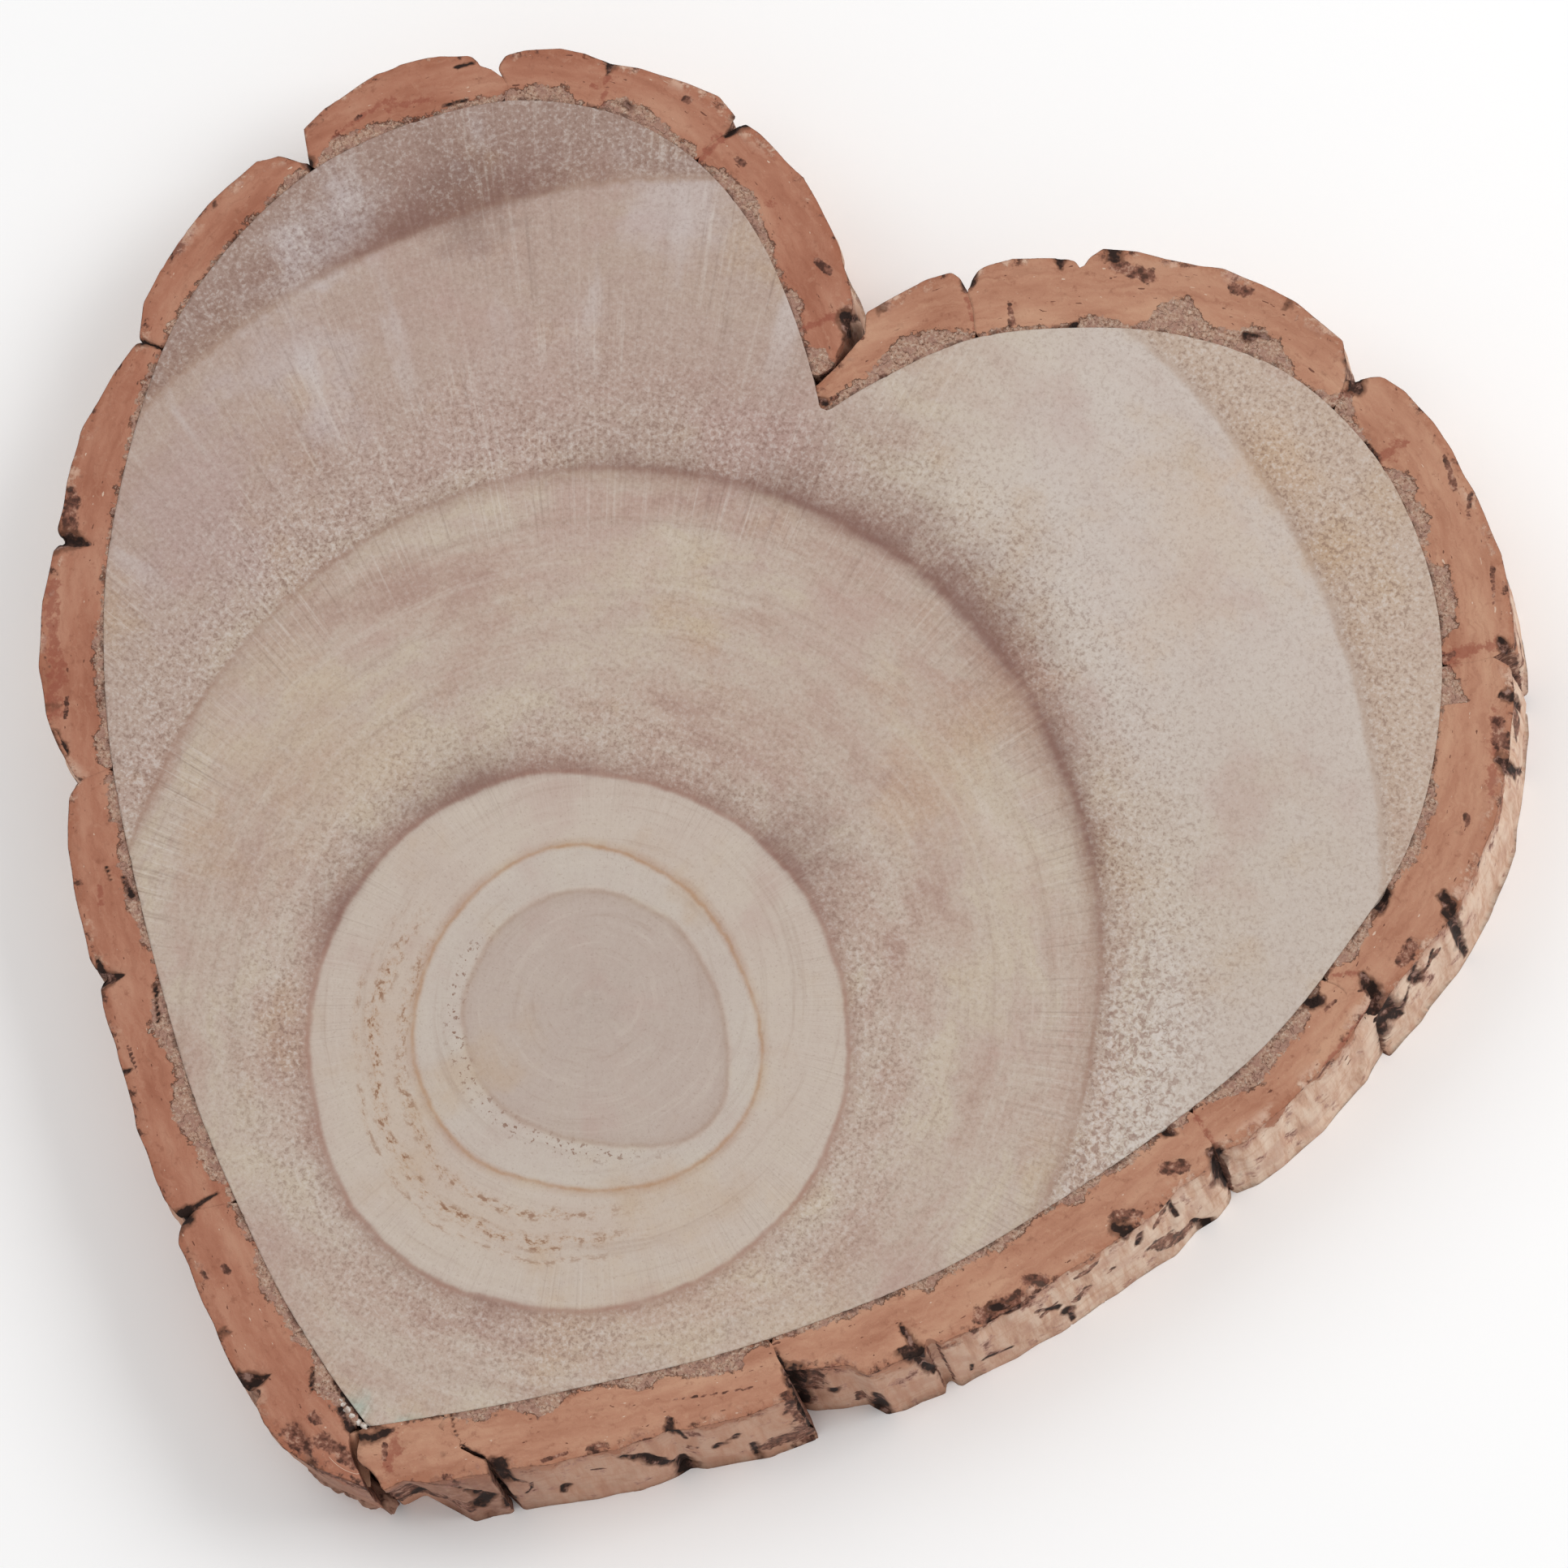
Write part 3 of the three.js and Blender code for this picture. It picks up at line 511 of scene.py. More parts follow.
# Marks on the weathered back of the right side, as the marks above, but each end is a place
# [along the rim, up from the lower face].
RIGHT_BACK_MARKS = [
    (0, 118.5, 21.0, 116.8, 9.0, 0.8, 0.4, 1.2), (1, 116.0, 19.0, 121.0, 14.0, 1.6, 1.6, 0.3),
    (0, 126.6, 21.0, 125.4, 11.0, 0.8, 0.5, 1.2), (0, 125.4, 11.0, 121.8, 1.0, 0.5, 0.4, 0.8),
    (0, 145.2, 21.0, 145.4, 12.0, 0.9, 0.9, 1.8), (0, 145.4, 12.0, 144.8, 1.0, 0.9, 0.6, 1.5),
    (1, 149.0, 16.0, 152.0, 15.0, 0.8, 0.8, 0.4), (0, 153.2, 16.0, 153.0, 14.0, 1.1, 0.8, 1.0),
    (0, 152.3, 19.0, 152.8, 17.5, 0.4, 0.3, 0.6), (0, 154.5, 15.0, 157.0, 11.5, 0.35, 0.35, 0.6),
    (0, 149.5, 17.5, 151.0, 15.0, 0.3, 0.3, 0.5), (0, 159.5, 21.0, 158.2, 13.5, 1.5, 1.6, 2.6),
    (0, 158.2, 13.5, 157.2, 9.5, 1.2, 0.4, 1.5), (0, 159.6, 14.0, 161.2, 0.5, 1.4, 0.9, 2.2),
    (1, 166.8, 16.3, 166.6, 15.0, 0.6, 0.5, 0.2), (1, 166.2, 12.6, 166.6, 12.2, 0.4, 0.3, 0.2),
    (1, 169.0, 19.6, 171.0, 19.4, 0.5, 0.4, 0.2), (1, 174.0, 19.6, 176.0, 19.2, 0.9, 0.6, 0.25),
    (0, 186.8, 20.5, 187.2, 13.5, 0.9, 1.3, 2.4), (0, 187.2, 13.5, 186.2, 2.5, 1.0, 0.3, 1.6),
    (0, 195.0, 20.5, 194.8, 12.5, 0.3, 0.25, 0.7), (0, 193.2, 6.0, 191.6, 0.3, 0.3, 1.0, 1.4),
    (1, 194.8, 4.5, 198.4, 7.6, 1.8, 1.9, 0.5), (1, 196.0, 17.0, 197.8, 14.2, 0.8, 0.6, 0.3),
    (0, 200.0, 16.4, 201.0, 12.6, 0.5, 0.4, 0.8), (0, 201.0, 20.6, 201.2, 18.8, 0.6, 0.4, 0.8),
    (1, 207.4, 17.2, 209.8, 16.8, 1.0, 0.7, 0.35), (1, 205.2, 10.8, 205.8, 10.2, 0.6, 0.5, 0.15),
    (1, 209.6, 9.6, 211.2, 8.2, 1.2, 1.0, 0.25), (1, 214.0, 11.4, 216.0, 10.8, 0.8, 0.6, 0.2),
    (0, 216.4, 13.6, 213.4, 9.0, 0.35, 0.45, 0.8), (0, 213.2, 7.0, 212.4, 5.8, 0.7, 0.6, 0.9),
    (0, 212.6, 5.0, 212.6, 1.0, 0.35, 0.3, 0.8), (1, 217.4, 19.8, 220.6, 19.4, 1.4, 1.2, 0.8),
    (0, 218.0, 19.0, 220.0, 18.6, 0.4, 0.4, 0.8), (1, 222.4, 19.0, 222.8, 18.0, 0.6, 0.5, 0.3),
    (0, 221.2, 5.4, 224.4, 6.8, 0.4, 0.5, 0.5), (0, 226.2, 7.0, 226.6, 3.0, 0.25, 0.2, 0.4),
    (0, 232.6, 21.0, 231.4, 16.0, 1.0, 0.8, 2.2), (0, 231.4, 16.0, 230.6, 9.0, 0.8, 0.25, 1.4),
    (0, 238.4, 9.5, 238.6, 0.5, 0.4, 1.0, 1.6), (1, 240.4, 6.0, 240.8, 2.5, 0.9, 0.7, 0.3),
    (0, 247.0, 20.0, 247.4, 13.0, 1.6, 1.3, 1.4), (0, 247.2, 13.0, 247.6, 4.0, 1.2, 0.9, 1.2),
    (1, 244.6, 19.5, 245.6, 11.0, 1.5, 1.2, 0.5),
    (0, 243.2, 11.0, 243.6, 9.6, 0.8, 0.6, 0.8), (1, 248.5, 5.0, 253.0, 4.0, 2.6, 2.8, 0.3),
    (0, 255.2, 8.2, 255.4, 0.5, 0.45, 0.5, 1.0), (0, 256.4, 13.4, 257.2, 12.2, 0.4, 0.5, 0.6),
    (0, 259.0, 11.0, 259.6, 9.8, 0.8, 0.5, 0.8), (0, 263.6, 21.0, 262.6, 14.4, 0.4, 0.25, 0.9),
    (1, 262.4, 11.2, 262.8, 10.4, 0.8, 0.6, 0.2), (0, 270.8, 16.6, 267.0, 11.0, 0.7, 1.1, 1.6),
    (0, 267.0, 11.0, 264.8, 5.6, 0.9, 0.6, 1.4), (0, 264.8, 5.6, 264.6, 0.4, 0.8, 1.3, 1.6),
    (1, 274.0, 12.6, 275.8, 12.2, 0.4, 0.3, 0.3), (0, 280.0, 7.0, 280.6, 5.6, 0.7, 0.6, 0.7),
    (0, 286.4, 21.0, 286.2, 16.0, 1.0, 1.1, 2.2), (0, 286.0, 16.0, 284.2, 14.4, 0.5, 0.3, 0.9),
    (0, 283.6, 13.6, 284.0, 10.2, 0.25, 0.2, 0.5), (0, 284.0, 10.2, 285.0, 8.6, 0.2, 0.2, 0.4),
    (0, 287.4, 8.4, 287.8, 4.0, 0.8, 0.9, 1.0), (0, 291.6, 14.2, 289.8, 10.0, 0.6, 1.2, 1.4),
    (0, 289.8, 10.0, 291.4, 6.0, 1.1, 1.0, 1.4), (0, 293.0, 17.0, 292.4, 15.6, 0.4, 0.3, 0.6),
    (1, 294.0, 6.0, 304.0, 12.0, 3.0, 5.0, 0.4), (1, 249.6, 20.0, 250.6, 0.5, 1.6, 1.6, 0.3),
    (1, 160.5, 20.0, 160.8, 0.5, 1.8, 1.6, 0.3), (0, 298.0, 8.0, 302.0, 4.0, 0.8, 1.2, 0.8),
]


def invented_back_marks(first, last, seed):
    """Cracks and scabs like those above, for a stretch of back from one place on the rim to another."""
    draw = np.random.default_rng(seed)
    marks = []
    place = first
    while place < last:
        top, foot = draw.uniform(15, 21), draw.uniform(0, 9)
        lean = draw.uniform(-2.5, 2.5)
        middle = (top + foot) / 2
        wide = draw.uniform(0.3, 0.9)
        marks.append((0, place, top, place + lean, middle, wide, wide, draw.uniform(0.7, 1.6)))
        marks.append((0, place + lean, middle, place + 1.3 * lean, foot, wide, 0.25, 0.7))
        at, up, size = place + draw.uniform(2, 10), draw.uniform(10, 20), draw.uniform(0.6, 1.6)
        marks.append((1, at, up, at + draw.uniform(0, 2), up - draw.uniform(0, 3), size, 0.7 * size, 0.3))
        place += draw.uniform(8, 17)
    return marks


LEFT_BACK_MARKS = invented_back_marks(12, 290, 4)
RIGHT_BACK_MARKS += invented_back_marks(14, 110, 9)


def rim_lines():
    """The wood's rim as two lines of points from the cleft to the tip, the left one and the right."""
    block = bmesh.new()
    block.from_mesh(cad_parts["wood_heart"].data)
    bmesh.ops.remove_doubles(block, verts=block.verts, dist=WELD)
    block.normal_update()
    rim = {}
    for edge in block.edges:
        if sorted(round(abs(face.normal.z)) for face in edge.link_faces) == [0, 1]:
            ends = [(vert.co / MM).to_tuple(3) for vert in edge.verts]
            if ends[0][2] > 1 and ends[1][2] > 1:
                for here, there in (ends, ends[::-1]):
                    rim.setdefault(here, []).append(there)
    block.free()
    start = min(rim, key=lambda p: (p[0] - CLEFT[0]) ** 2 + (p[1] - CLEFT[1]) ** 2)
    loop = [start, max(rim[start])]
    while loop[-1] != start:
        loop.append(next(p for p in rim[loop[-1]] if p != loop[-2]))
    loop = np.array(loop)[:, :2]
    tip = int(np.argmin(loop[:, 1]))
    return loop[tip:][::-1], loop[:tip + 1]


def places_on_rim(rim, points):
    """For each point, how far along the rim it is, how far out from it, and the way out there."""
    step = np.diff(rim, axis=0)
    length = np.hypot(*step.T)
    gap = points[:, None] - rim[:-1]
    share = np.clip((gap * step).sum(2) / length ** 2, 0, 1)
    away = gap - share[..., None] * step
    reach = np.hypot(away[..., 0], away[..., 1])
    nearest = reach.argmin(axis=1)
    row = np.arange(len(points))
    along = np.r_[0, length.cumsum()][nearest] + share[row, nearest] * length[nearest]
    out = reach[row, nearest]
    return along, out, away[row, nearest] / np.maximum(out, 1e-6)[:, None]


def lumps(points, size, seed):
    """Smooth random lumps of about the given size, from -1 to 1, the same in each run."""
    grid = points / np.asarray(size, float)
    cell = np.floor(grid).astype(np.int64)
    t = grid - cell
    t = t * t * (3 - 2 * t)
    total = np.zeros(len(points))
    # A corner of the grid has a value scrambled from its own place.
    for corner in itertools.product((0, 1), repeat=3):
        key = ((cell + corner) * (73856093, 19349663, 83492791)).sum(1) + seed * 2654435
        key = (key ^ (key >> 13)) * 1274126177 & 0xFFFFFFFF
        value = ((key ^ (key >> 15)) & 0xFFFF) / 32767.5 - 1
        total += value * np.prod(np.where(corner, t, 1 - t), axis=1)
    return total


def smooth(value, low, high):
    """A soft step from 0 at low to 1 at high."""
    t = np.clip((value - low) / (high - low), 0, 1)
    return t * t * (3 - 2 * t)


def closeness(here, mark):
    """1 on the middle line of a mark, 0 at its edge and less outside it."""
    first, last, wide, narrow = np.array(mark[:2]), np.array(mark[2:4]), mark[4], mark[5]
    line = last - first
    t = np.clip(((here - first) @ line) / max(line @ line, 1e-6), 0, 1)
    apart = np.hypot(*(here - first - t[:, None] * line).T)
    return 1 - apart / (wide + t * (narrow - wide))


def softened(mesh, values, rounds):
    """Values at a mesh's points, each averaged with its neighbours' so many times."""
    ends = np.empty(2 * len(mesh.edges), np.int32)
    mesh.edges.foreach_get("vertices", ends)
    here, there = ends.reshape(-1, 2).T
    neighbours = np.bincount(ends, minlength=len(values))
    for _ in range(rounds):
        total = np.bincount(here, values[there], len(values))
        total += np.bincount(there, values[here], len(values))
        values = (values + total / neighbours) / 2
    return values


def make_bark_paint(name, cork, cork_dark, cork_pale, weathered):
    paint, surface, place = new_material(name)
    rim_place = place.attribute("rim_place")
    layer, inset, outward = place.attribute("layers").split()
    black, brown, red = place.attribute("marks").split()
    along, out, up = rim_place.split()
    wobble = place.noise(0.8, 4, 0.6) - 0.5
    ragged = place.noise(1.7, 4, 0.65) - 0.5
    fine = place.noise(2.2, 4, 0.65)
    drift = place.noise(0.22, 3) - 0.5

    # Firm cork: tan, with faint growth lines that follow the rim, soft mottling and a few flecks.
    tone = rim_place.scaled(0.07, 0.22, 0.05).noise(1.0, 4, 0.6)
    base = tone.ramp((0.34, cork_dark), (0.50, cork), (0.68, cork_pale))
    bend = wobble.node("CombineXYZ", {}, {1: wobble * 2.6 + ragged * 0.8 + drift * 6.0})
    lines = rim_place.scaled(0.12, 1.5, 0.12).shifted(bend).noise(1.0, 3, 0.65)
    base = base.mixed(cork_pale, lines.rise(0.50, 0.70) * 0.35)
    base = base.mixed("8f5a45", lines.rise(0.50, 0.30) * 0.26)
    mottle = place.scaled(1, 1, 0.6).noise(0.7, 5, 0.65)
    base = base.mixed("85503c", mottle.rise(0.56, 0.74) * 0.5)
    base = base.mixed(cork_pale, mottle.rise(0.44, 0.28) * 0.5)
    flecks = rim_place.scaled(0.6, 1.5, 0.6).noise(1.1, 3, 0.5)
    base = base.mixed("5a3226", flecks.rise(0.70, 0.72) * 0.8)
    base = base.mixed("dcc6b2", flecks.rise(0.285, 0.255) * 0.7)

    # Inner layer next to the wood: pale grit with brown dots and curls, and a thin dark outline.
    edge = layer + wobble * 2.6 + ragged * 1.6
    speck = fine.ramp((0.33, "664336"), (0.41, "a6826f"), (0.54, "bd9e8a"), (0.68, "d2bfae"))
    speck = speck.mixed("a37d70", mottle.rise(0.46, 0.58) * 0.75)
    curls = (place.noise(0.34, 3, 0.65) - 0.5).math("ABSOLUTE")
    speck = speck.mixed("5b392d", curls.rise(0.012, 0.003) * fine.rise(0.56, 0.48) * 0.4)
    inside = edge.rise(-0.05, 0.15)
    base = base.mixed(speck, inside * 0.85)
    outline = edge.hump(0.0, 0.22) * place.noise(0.45, 2).rise(0.42, 0.58)
    base = base.mixed("4b2c20", outline * 0.8)
    glue_line = out.rise(0.7, 0.2) * place.noise(0.6, 4, 0.65).rise(0.50, 0.60)
    base = base.mixed("3d231b", glue_line * 0.75)

    # Weathered back: pale, faintly streaked, with purple-brown scabs that crowd at its upper edge.
    streaks = rim_place.scaled(0.9, 0.5, 0.12).noise(0.8, 5, 0.65)
    bark_skin = streaks.ramp((0.28, "b08873"), (0.42, "cba58d"), (0.54, weathered), (0.74, "e3cdb9"))
    layers_across = rim_place.scaled(0.10, 0.3, 0.9).noise(1.0, 3, 0.6)
    bark_skin = bark_skin.mixed("b58368", layers_across.rise(0.52, 0.72) * 0.35)
    bark_skin = bark_skin.mixed("c49c88", drift.rise(0.0, 0.16) * 0.5)
    bark_skin = bark_skin.mixed("b27f66", along.rise(206.0, 240.0) * 0.6)
    near_ends = along.rise(276.0, 292.0) + along.rise(16.0, 7.0)
    bark_skin = bark_skin.mixed("83594a", near_ends * (0.65 + wobble * 1.2))
    scabs = place.scaled(0.28, 0.28, 0.22).noise(1.0, 6, 0.68) + up.rise(14.0, 21.0) * 0.045
    bark_skin = bark_skin.mixed("a3766a", scabs.rise(0.575, 0.615) * 0.55)
    bark_skin = bark_skin.mixed("6b4438", scabs.rise(0.63, 0.67) * 0.8)
    back = outward * (19.7 - up + drift * 14.0 + wobble * 5.0 + ragged * 4.0).rise(-0.5, 1.0)
    base = base.mixed(bark_skin, back)

    # The brink of the sawn face: darker cork, with red and brown chips.
    brink = (inset + wobble * 4.0 + ragged * 2.0).rise(2.2, 0.2) * up.rise(16.5, 20.0)
    base = base.mixed("96593f", brink * 0.4)
    chips = place.noise(0.38, 6, 0.7)
    base = base.mixed("a0543c", (ragged + wobble).rise(0.10, 0.22) * brink * 0.7)
    base = base.mixed("7c5142", chips.rise(0.55, 0.59) * brink * 0.75)
    base = base.mixed("41281f", chips.rise(0.585, 0.62) * brink * 0.9)

    # Smears, pits and cracks. The torn edges of cracks are drawn out upwards. Inside a crack the near-black
    # is partly its own dark colour, partly painted shade of its depth.
    base = base.mixed("8c4838", (red + wobble * 3.5 + ragged * 2.0).rise(0.0, 0.8) * 0.62)
    brown_at = (brown + wobble * 1.7 + ragged * 0.8).rise(-0.05, 0.35)
    pit_at = wobble + ragged * 0.35 + 0.5
    pit_shade = pit_at.ramp((0.36, "b08a77"), (0.44, "885b4b"), (0.53, "674135"), (0.62, "38211b"))
    base = base.mixed(pit_shade, brown_at * 0.9)
    torn = place.scaled(1, 1, 0.35).noise(0.6, 2, 0.5) - 0.5
    crack = black + torn * 2.2 + ragged * 0.5
    base = base.mixed("64402f", crack.rise(-0.65, 0.05) * 0.75)
    # Painted shade: the hollow of a crack goes near black, over its own dark brown.
    hollow_at = place.noise(0.5, 4, 0.62) - crack * 0.05
    crack_dark_and_painted_shade = hollow_at.ramp((0.46, "231714"), (0.52, "3f2820"), (0.57, "6b4a40"), (0.63, "97766a"))
    base = base.mixed(crack_dark_and_painted_shade, crack.rise(0.0, 0.3) * 0.95)

    height = lines * 0.35 + fine * 0.3 + inside * (fine - 0.5) * 1.4 + back * streaks * 0.8 + mottle * 0.4
    height = height - outline * 0.3 - curls.rise(0.02, 0.0) * inside * 0.4
    finish_material(surface, base, 0.80 + fine * 0.12, height, 0.22)
    surface.inputs["Specular IOR Level"].default_value = 0.25
    return paint


def shape_bark(node, rim, grain_places, marks, back_marks, seed, paint, filled=()):
    """A bark piece: its CAD block in small faces, with its back weathered and its marks sunk in."""
    mesh = finely_meshed(node, BARK_FACE * MM)
    points, normals = read_points(mesh) / MM, read_points(mesh, "normal")
    along, out, way = places_on_rim(rim, points[:, :2])
    up = points[:, 2]
    facing = (normals[:, :2] * way).sum(1)
    sideways = np.maximum(np.hypot(normals[:, 0], normals[:, 1]), 0.5)
    crosswise = np.abs(normals[:, 1] * way[:, 0] - normals[:, 0] * way[:, 1]) / sideways
    upper = up > THICKNESS - 0.01
    lower = up < 0.01
    wall = 1.0 - (upper | lower)
    end = smooth(crosswise, 0.6, 0.9) * smooth(out, 0.5, 1.0)
    spots = np.stack([along, out, up], axis=1)

    # How far in each point lies from the back of the piece.
    bins = np.arange(along.min(), along.max() + 1)
    brink = [out[np.abs(along - middle) < 1.0].max(initial=0) for middle in bins]
    inset = np.interp(along, bins, brink) - out
    outward = smooth(facing * wall + (1 - wall), 0.15, 0.5) * smooth(inset, 3.0, 1.0) * smooth(out, 1.5, 2.5)

    # How close each point is to a crack, a pit and a smear, and how deep it is cut.
    jitter = 0.40 * lumps(spots, 2.0, seed + 8) + 0.15 * lumps(spots, 1.2, seed + 9)
    closest = [np.full(len(points), -1.0) for _ in range(3)]
    sunk, worn = np.zeros((2, len(points)))
    for kind, *line, depth in marks:
        near = closeness(spots[:, :2], line) - (THICKNESS - up) / (2.5 * depth + 1.0)
        closest[kind] = np.maximum(closest[kind], near)
        sunk = np.maximum(sunk, CUT_SHARE * depth * smooth(near + jitter, 0.0, 0.9))
    for kind, *line, depth in back_marks:
        near = np.where(outward > 0.2, closeness(spots[:, ::2], line), -1)
        closest[kind] = np.maximum(closest[kind], near)
        worn = np.maximum(worn, CUT_SHARE * depth * smooth(near + jitter, 0.0, 0.9))
    # The end faces where two pieces meet take the pit colours: painted shade in the joints.
    closest[1] = np.maximum(closest[1], 1.3 * end * wall - 0.8)
    sunk, worn = softened(mesh, sunk, 3), softened(mesh, worn, 4)

    # The back loses ridges and plates, and the side next to the wood stands off its rim.
    hold = smooth(out, 2.0, 4.0)
    upright = spots * (1.0, 1.0, 0.2)
    ridges = 0.16 * (1 + lumps(upright, 2.6, seed)) + 0.07 * (1 + lumps(upright, 1.0, seed + 1))
    plates = 0.45 * smooth(lumps(spots, (6, 6, 10), seed + 2), -0.05, 0.15)
    loss = (hold * (ridges + plates) + worn) * outward * wall
    points[:, :2] -= way * loss[:, None]
    against_wood = smooth(-facing, 0.2, 0.6) * smooth(out, 1.2, 0.7)
    points[:, :2] -= way * (0.35 * against_wood)[:, None]
    # The ends reach for the next piece, most at the tip and in the cleft.
    closed = end * smooth(out, 9.0, 6.0) * (0.24 + 0.05 * jitter)
    corner = smooth(along, 283.0, 288.0) * smooth(out, 6.0, 3.0) * 1.5 + smooth(along, 12.0, 6.0) * 1.4
    closed += end * corner * np.maximum(0.45 + 0.9 * lumps(points, (2, 2, 4), 3), 0)
    points[:, :2] += normals[:, :2] * (closed / sideways)[:, None]
    for place_along, reach in filled:
        nearby = smooth(np.abs(along - place_along), 2.6, 0.6) * smooth(out, 3.0, 7.0)
        nearby *= 1 + 0.5 * lumps(points, (2, 2, 3), seed + 4)
        points[:, :2] += np.stack([way[:, 1], -way[:, 0]], axis=1) * (reach * nearby)[:, None]
    limit = np.array(cad_box[1][:2]) / MM - BOX_MARGIN
    points[:, :2] = np.clip(points[:, :2], -limit, limit)

    # The sawn face sinks at marks, at the grainy layer and at chips along its brink.
    layer = np.interp(along, *np.array(grain_places, float).T) - out
    crumbly = smooth(layer, 0.0, 0.3) * (0.10 + 0.08 * lumps(spots, 0.8, seed + 5))
    chipped = smooth(inset, 1.8, 0.0) * (0.25 + 0.5 * smooth(lumps(spots, (3, 3, 9), seed + 3), 0.1, 0.5))
    fall = sunk + crumbly + chipped + 0.03 * (1 + lumps(spots, 2.5, seed + 6))
    points[:, 2] = np.where(lower, 0.03 * (1 + lumps(spots, 2.5, seed + 7)), np.minimum(up, THICKNESS - fall))
    mesh.vertices.foreach_set("co", (points * MM).astype(np.float32).ravel())
    mesh.update()
    write_attribute(mesh, "rim_place", [along, out, up])
    write_attribute(mesh, "layers", [layer, inset, outward])
    write_attribute(mesh, "marks", closest)
    add_piece(node.replace("_bark_", "_cork_"), mesh, node, paint)


# Torn bark that hangs on in a notch: number of the right piece, [way along the rim, reach]. A reach
# is plus towards the tip and minus towards the cleft.
FILLED = {4: [(160.0, 1.2)], 5: [(161.2, -2.4)], 6: [(248.5, 1.2)], 7: [(250.5, -1.8)]}

left_rim, right_rim = rim_lines()
# The left side's paint is darker and redder than the right's: partly the bark's own tone, partly painted
# shade on that side.
red_bark = make_bark_paint("red_bark", "ac755e", "9e654f", "b98870", "d3b39d")
tan_bark = make_bark_paint("tan_bark", "b5836a", "a8745c", "c2957a", "dabda7")
for number in range(1, 8):
    shape_bark(f"left_bark_{number}", left_rim, LEFT_GRAIN, LEFT_MARKS, LEFT_BACK_MARKS,
               number * 10, red_bark)
for number in range(1, 9):
    shape_bark(f"right_bark_{number}", right_rim, RIGHT_GRAIN, RIGHT_MARKS, RIGHT_BACK_MARKS,
               200 + number * 10, tan_bark, FILLED.get(number, ()))

# Splinters of torn cork are caught in the joint at the tip, where the two sides of the bark meet.
# One fills the joint below the sawn face, a blunt one sticks out at its foot, and a third lies
# there with torn lumps beside it. A splinter has a start, an end and the half width at either.
SPLINTERS = [
    ((-6.0, -92.2, 19.6), (-2.4, -97.2, 15.0), 1.1, 0.7), ((-9.0, -94.8, 9.0), (0.2, -97.3, 5.5), 1.2, 1.1),
    ((-8.0, -93.5, 5.0), (-3.4, -97.0, 2.4), 1.6, 1.0),
]
# Middle and half sizes of each lump. They lie along the foot of the left side's last piece.
TORN_LUMPS = [((-10.2, -96.2, 5.0), (3.6, 1.7, 3.4)), ((-6.6, -96.9, 8.5), (3.2, 1.4, 3.0)),
              ((-9.0, -96.8, 12.5), (3.0, 1.2, 2.2)), ((-4.4, -97.0, 4.6), (2.2, 1.3, 2.6))]
splinter_block = bmesh.new()
for first, last, wide, narrow in SPLINTERS:
    run = Vector(last) - Vector(first)
    turn = run.to_track_quat("Z", "Y").to_matrix().to_4x4()
    middle = Matrix.Translation((Vector(first) + Vector(last)) / 2)
    bmesh.ops.create_cone(splinter_block, cap_ends=True, segments=14, radius1=wide, radius2=narrow,
                          depth=run.length, matrix=middle @ turn)
bmesh.ops.subdivide_edges(splinter_block, edges=splinter_block.edges, cuts=5, use_grid_fill=True)
for middle, half in TORN_LUMPS:
    at = Matrix.Translation(middle) @ Matrix.Rotation(np.radians(-15), 4, "Z")
    stretched = at @ Matrix.Diagonal((*half, 1))
    bmesh.ops.create_icosphere(splinter_block, subdivisions=5, radius=1, matrix=stretched)
splinter_mesh = in_mesh("tip_splinters", splinter_block)
splinter_points = read_points(splinter_mesh)
for reach, size in ((0.35, 1.4), (0.15, 0.6)):
    splinter_points += reach * np.stack([lumps(splinter_points, size, seed) for seed in (4, 5, 6)], axis=1)
splinter_points[:, 1] = np.maximum(splinter_points[:, 1], cad_box[0][1] / MM + BOX_MARGIN)
splinter_mesh.vertices.foreach_set("co", (splinter_points * MM).astype(np.float32).ravel())
# They take the paint of the bark near the tip: firm cork above, the weathered back at the foot.
even = np.ones(len(splinter_points))
foot = 1.0 * (splinter_points[:, 2] < 13.5)
write_attribute(splinter_mesh, "rim_place", [290 * even, 5 * even, splinter_points[:, 2]])
write_attribute(splinter_mesh, "layers", [-5 * even, 5 * even, foot])
write_attribute(splinter_mesh, "marks", [0.55 * foot - 1, 1.0 * foot - 1, -even])
splinter_mesh.materials.append(tan_bark)
splinter_mesh.shade_smooth()
splinters = in_scene("tip_splinters", splinter_mesh)
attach(splinters, "root")

# Crumbs of dried white glue stand in the groove between the tip of the heart and its bark. They
# were squeezed out when the bark was pressed on, and each has a middle x and y and a half size.
GLUE_CRUMBS = [
    (-8.3, -89.5, 0.45), (-7.5, -90.0, 0.60), (-6.5, -90.5, 0.55), (-5.5, -90.9, 0.65),
    (-4.6, -91.0, 0.50), (-4.0, -90.4, 0.60), (-3.4, -89.9, 0.50), (-2.7, -89.4, 0.60),
    (-1.9, -89.3, 0.65), (-1.0, -89.1, 0.50), (-0.2, -89.2, 0.40), (-4.1, -91.4, 0.35),
    (-8.8, -89.1, 0.30),
]
glue_block = bmesh.new()
for left, forward, size in GLUE_CRUMBS:
    stretch = Matrix.Diagonal((size, 0.8 * size, 0.7 * size, 1)) @ Matrix.Rotation(left, 4, "Z")
    at = Matrix.Translation((left, forward, THICKNESS - 0.75 * size))
    bmesh.ops.create_icosphere(glue_block, subdivisions=2, radius=1, matrix=at @ stretch)
glue_mesh = in_mesh("glue_crumbs", glue_block)
glue_points = read_points(glue_mesh)
glue_points += 0.12 * np.stack([lumps(glue_points, 0.4, seed) for seed in (1, 2, 3)], axis=1)
glue_points[:, 2] = np.minimum(glue_points[:, 2], THICKNESS)
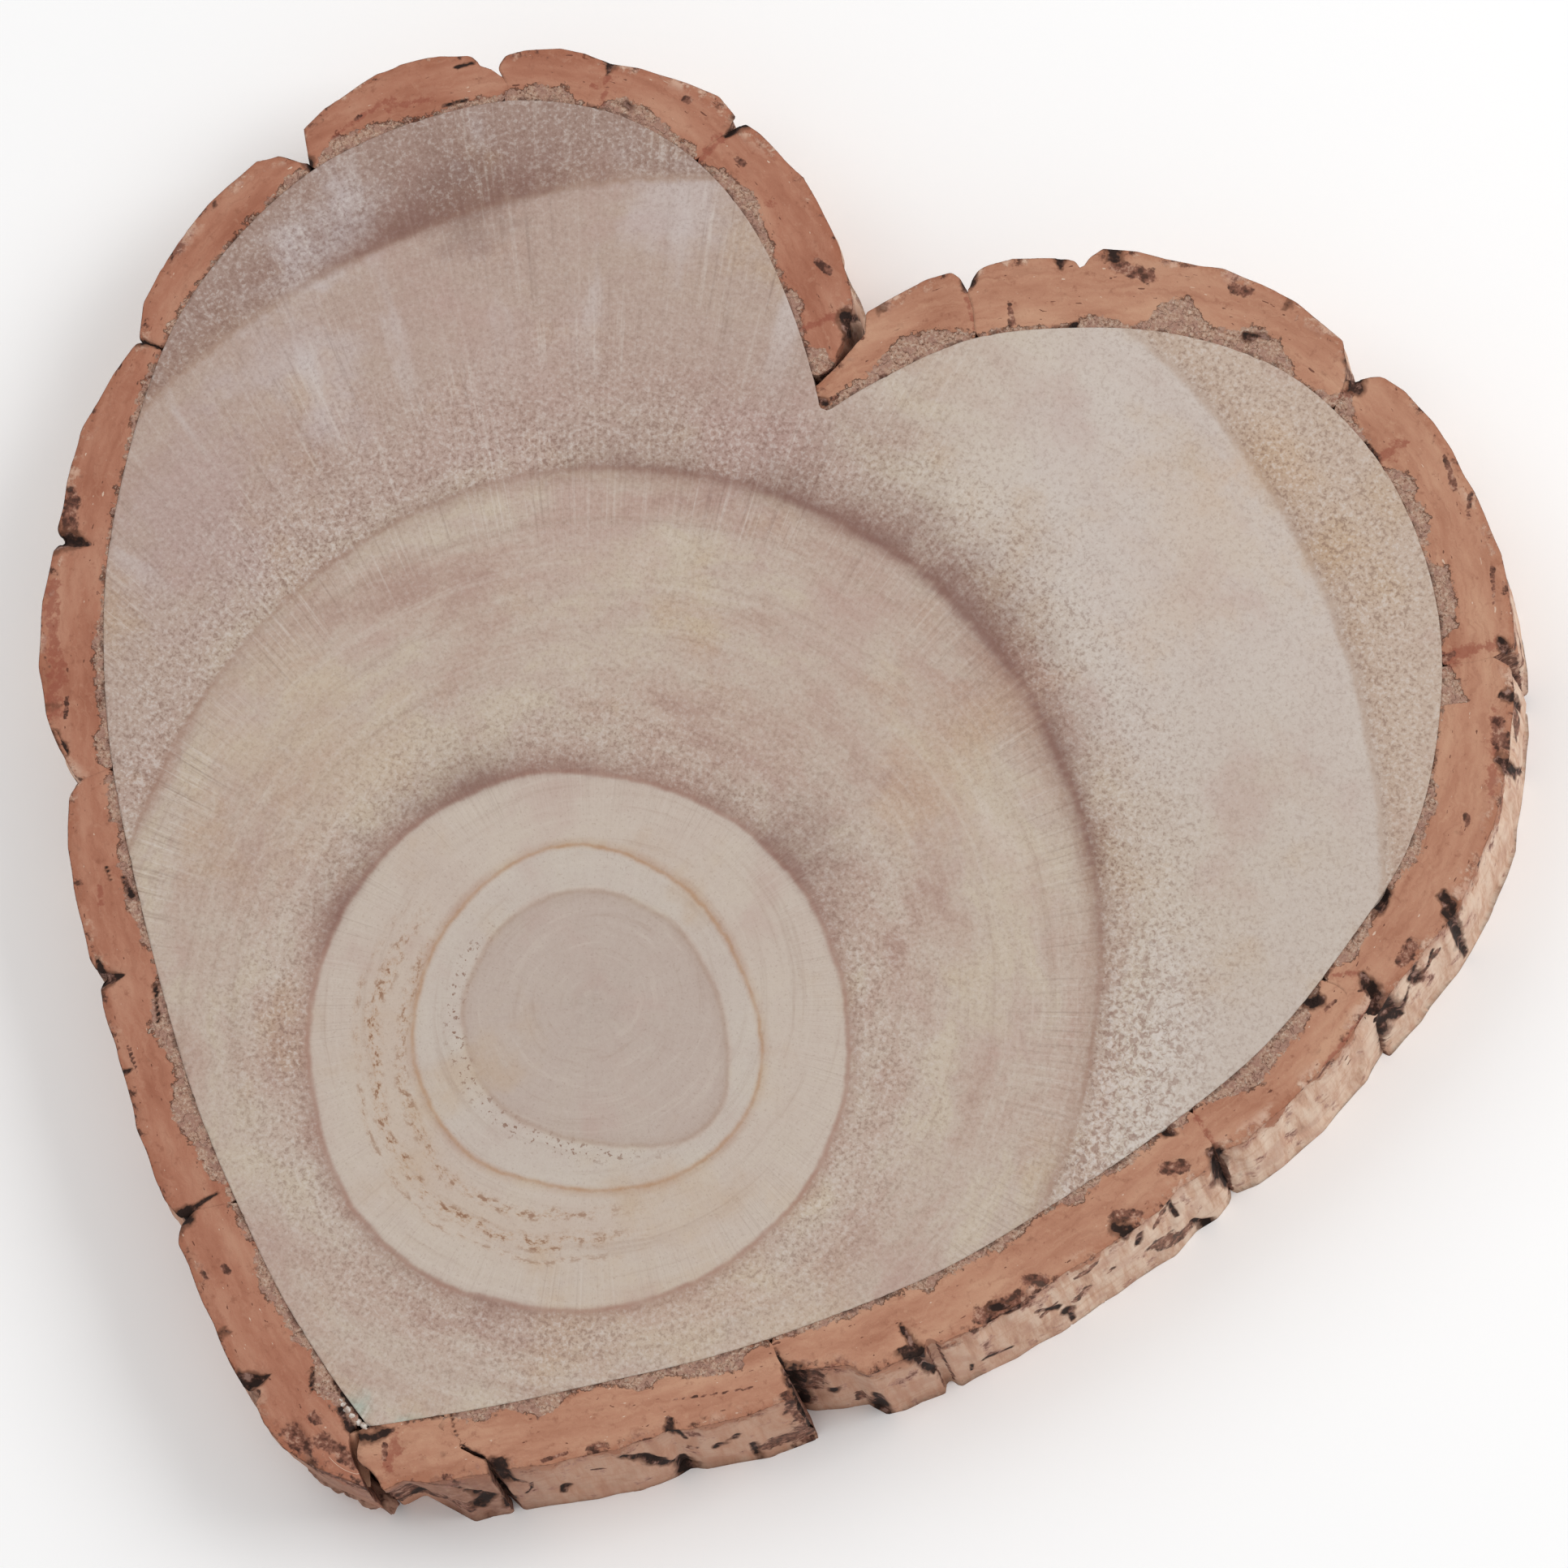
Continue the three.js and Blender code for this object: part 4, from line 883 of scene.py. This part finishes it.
glue_mesh.vertices.foreach_set("co", (glue_points * MM).astype(np.float32).ravel())
glue_paint, glue_surface, glue_place = new_material("dried_glue")
glue_tone = glue_place.noise(1.5, 3, 0.6)
glue_shade = glue_tone.ramp((0.40, "a08a7c"), (0.60, "d8cfc6"))
finish_material(glue_surface, glue_shade, 0.5 + glue_tone * 0.2, glue_tone, 0.05)
glue_mesh.materials.append(glue_paint)
glue_mesh.shade_smooth()
glue = in_scene("glue_crumbs", glue_mesh)
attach(glue, "root")

# The stage: a plain white floor under the slice, soft light from above, and a camera that
# looks down 19 degrees off the vertical, rolled so that the tip of the heart points down left.
bpy.context.scene.view_settings.view_transform = "Standard"
floor_block = bmesh.new()
bmesh.ops.create_grid(floor_block, x_segments=1, y_segments=1, size=4)
floor_mesh = in_mesh("floor", floor_block)
floor_paint, floor_surface, _ = new_material("floor")
floor_surface.inputs["Base Color"].default_value = (0.99, 0.99, 0.99, 1)
floor_surface.inputs["Roughness"].default_value = 0.9
floor_mesh.materials.append(floor_paint)
floor = in_scene("floor", floor_mesh)

world = bpy.data.worlds.new("studio")
bpy.context.scene.world = world
world.use_nodes = True
glow = world.node_tree.nodes["Background"].inputs
glow["Color"].default_value = (1, 1, 1, 1)
glow["Strength"].default_value = 0.62


def add_lamp(name, place, size, power):
    lamp = bpy.data.lights.new(name, "AREA")
    lamp.size = size
    lamp.energy = power
    stand = in_scene(name, lamp)
    stand.location = place
    stand.rotation_mode = "QUATERNION"
    stand.rotation_quaternion = Vector(place).to_track_quat("Z", "Y")


add_lamp("key", (0.9, 0.6, 1.1), 0.8, 9)
add_lamp("fill", (-0.9, 0.2, 1.3), 1.2, 4)

CAMERA_AIM = Vector((0.01005, 0.0099, 0.021))
CAMERA_DISTANCE = 1.5054
OFF_VERTICAL, LEAN_WAY, HEART_TURN = np.radians([19.0, 65.0, -131.4])
# The photograph's width and the lens's length in pixels, and a sensor's width in mm.
PHOTO_WIDTH = 1932
LENS_LENGTH = 14000
SENSOR_WIDTH = 36
heading = np.array([np.cos(LEAN_WAY), np.sin(LEAN_WAY)])
upwards = np.array([*np.cos(OFF_VERTICAL) * heading, -np.sin(OFF_VERTICAL)])
across = np.array([-np.sin(LEAN_WAY), np.cos(LEAN_WAY), 0])
world_x = np.cos(HEART_TURN) * across - np.sin(HEART_TURN) * upwards
world_y = np.sin(HEART_TURN) * across + np.cos(HEART_TURN) * upwards
world_z = -np.array([*np.sin(OFF_VERTICAL) * heading, np.cos(OFF_VERTICAL)])
right, down, ahead = (Vector(way) for way in zip(world_x, world_y, world_z))
camera = in_scene("camera", bpy.data.cameras.new("camera"))
camera.data.sensor_width = SENSOR_WIDTH
camera.data.lens = SENSOR_WIDTH * LENS_LENGTH / PHOTO_WIDTH
turned = Matrix((right, -down, -ahead)).transposed()
camera.matrix_world = Matrix.Translation(CAMERA_AIM - CAMERA_DISTANCE * ahead) @ turned.to_4x4()
bpy.context.scene.camera = camera
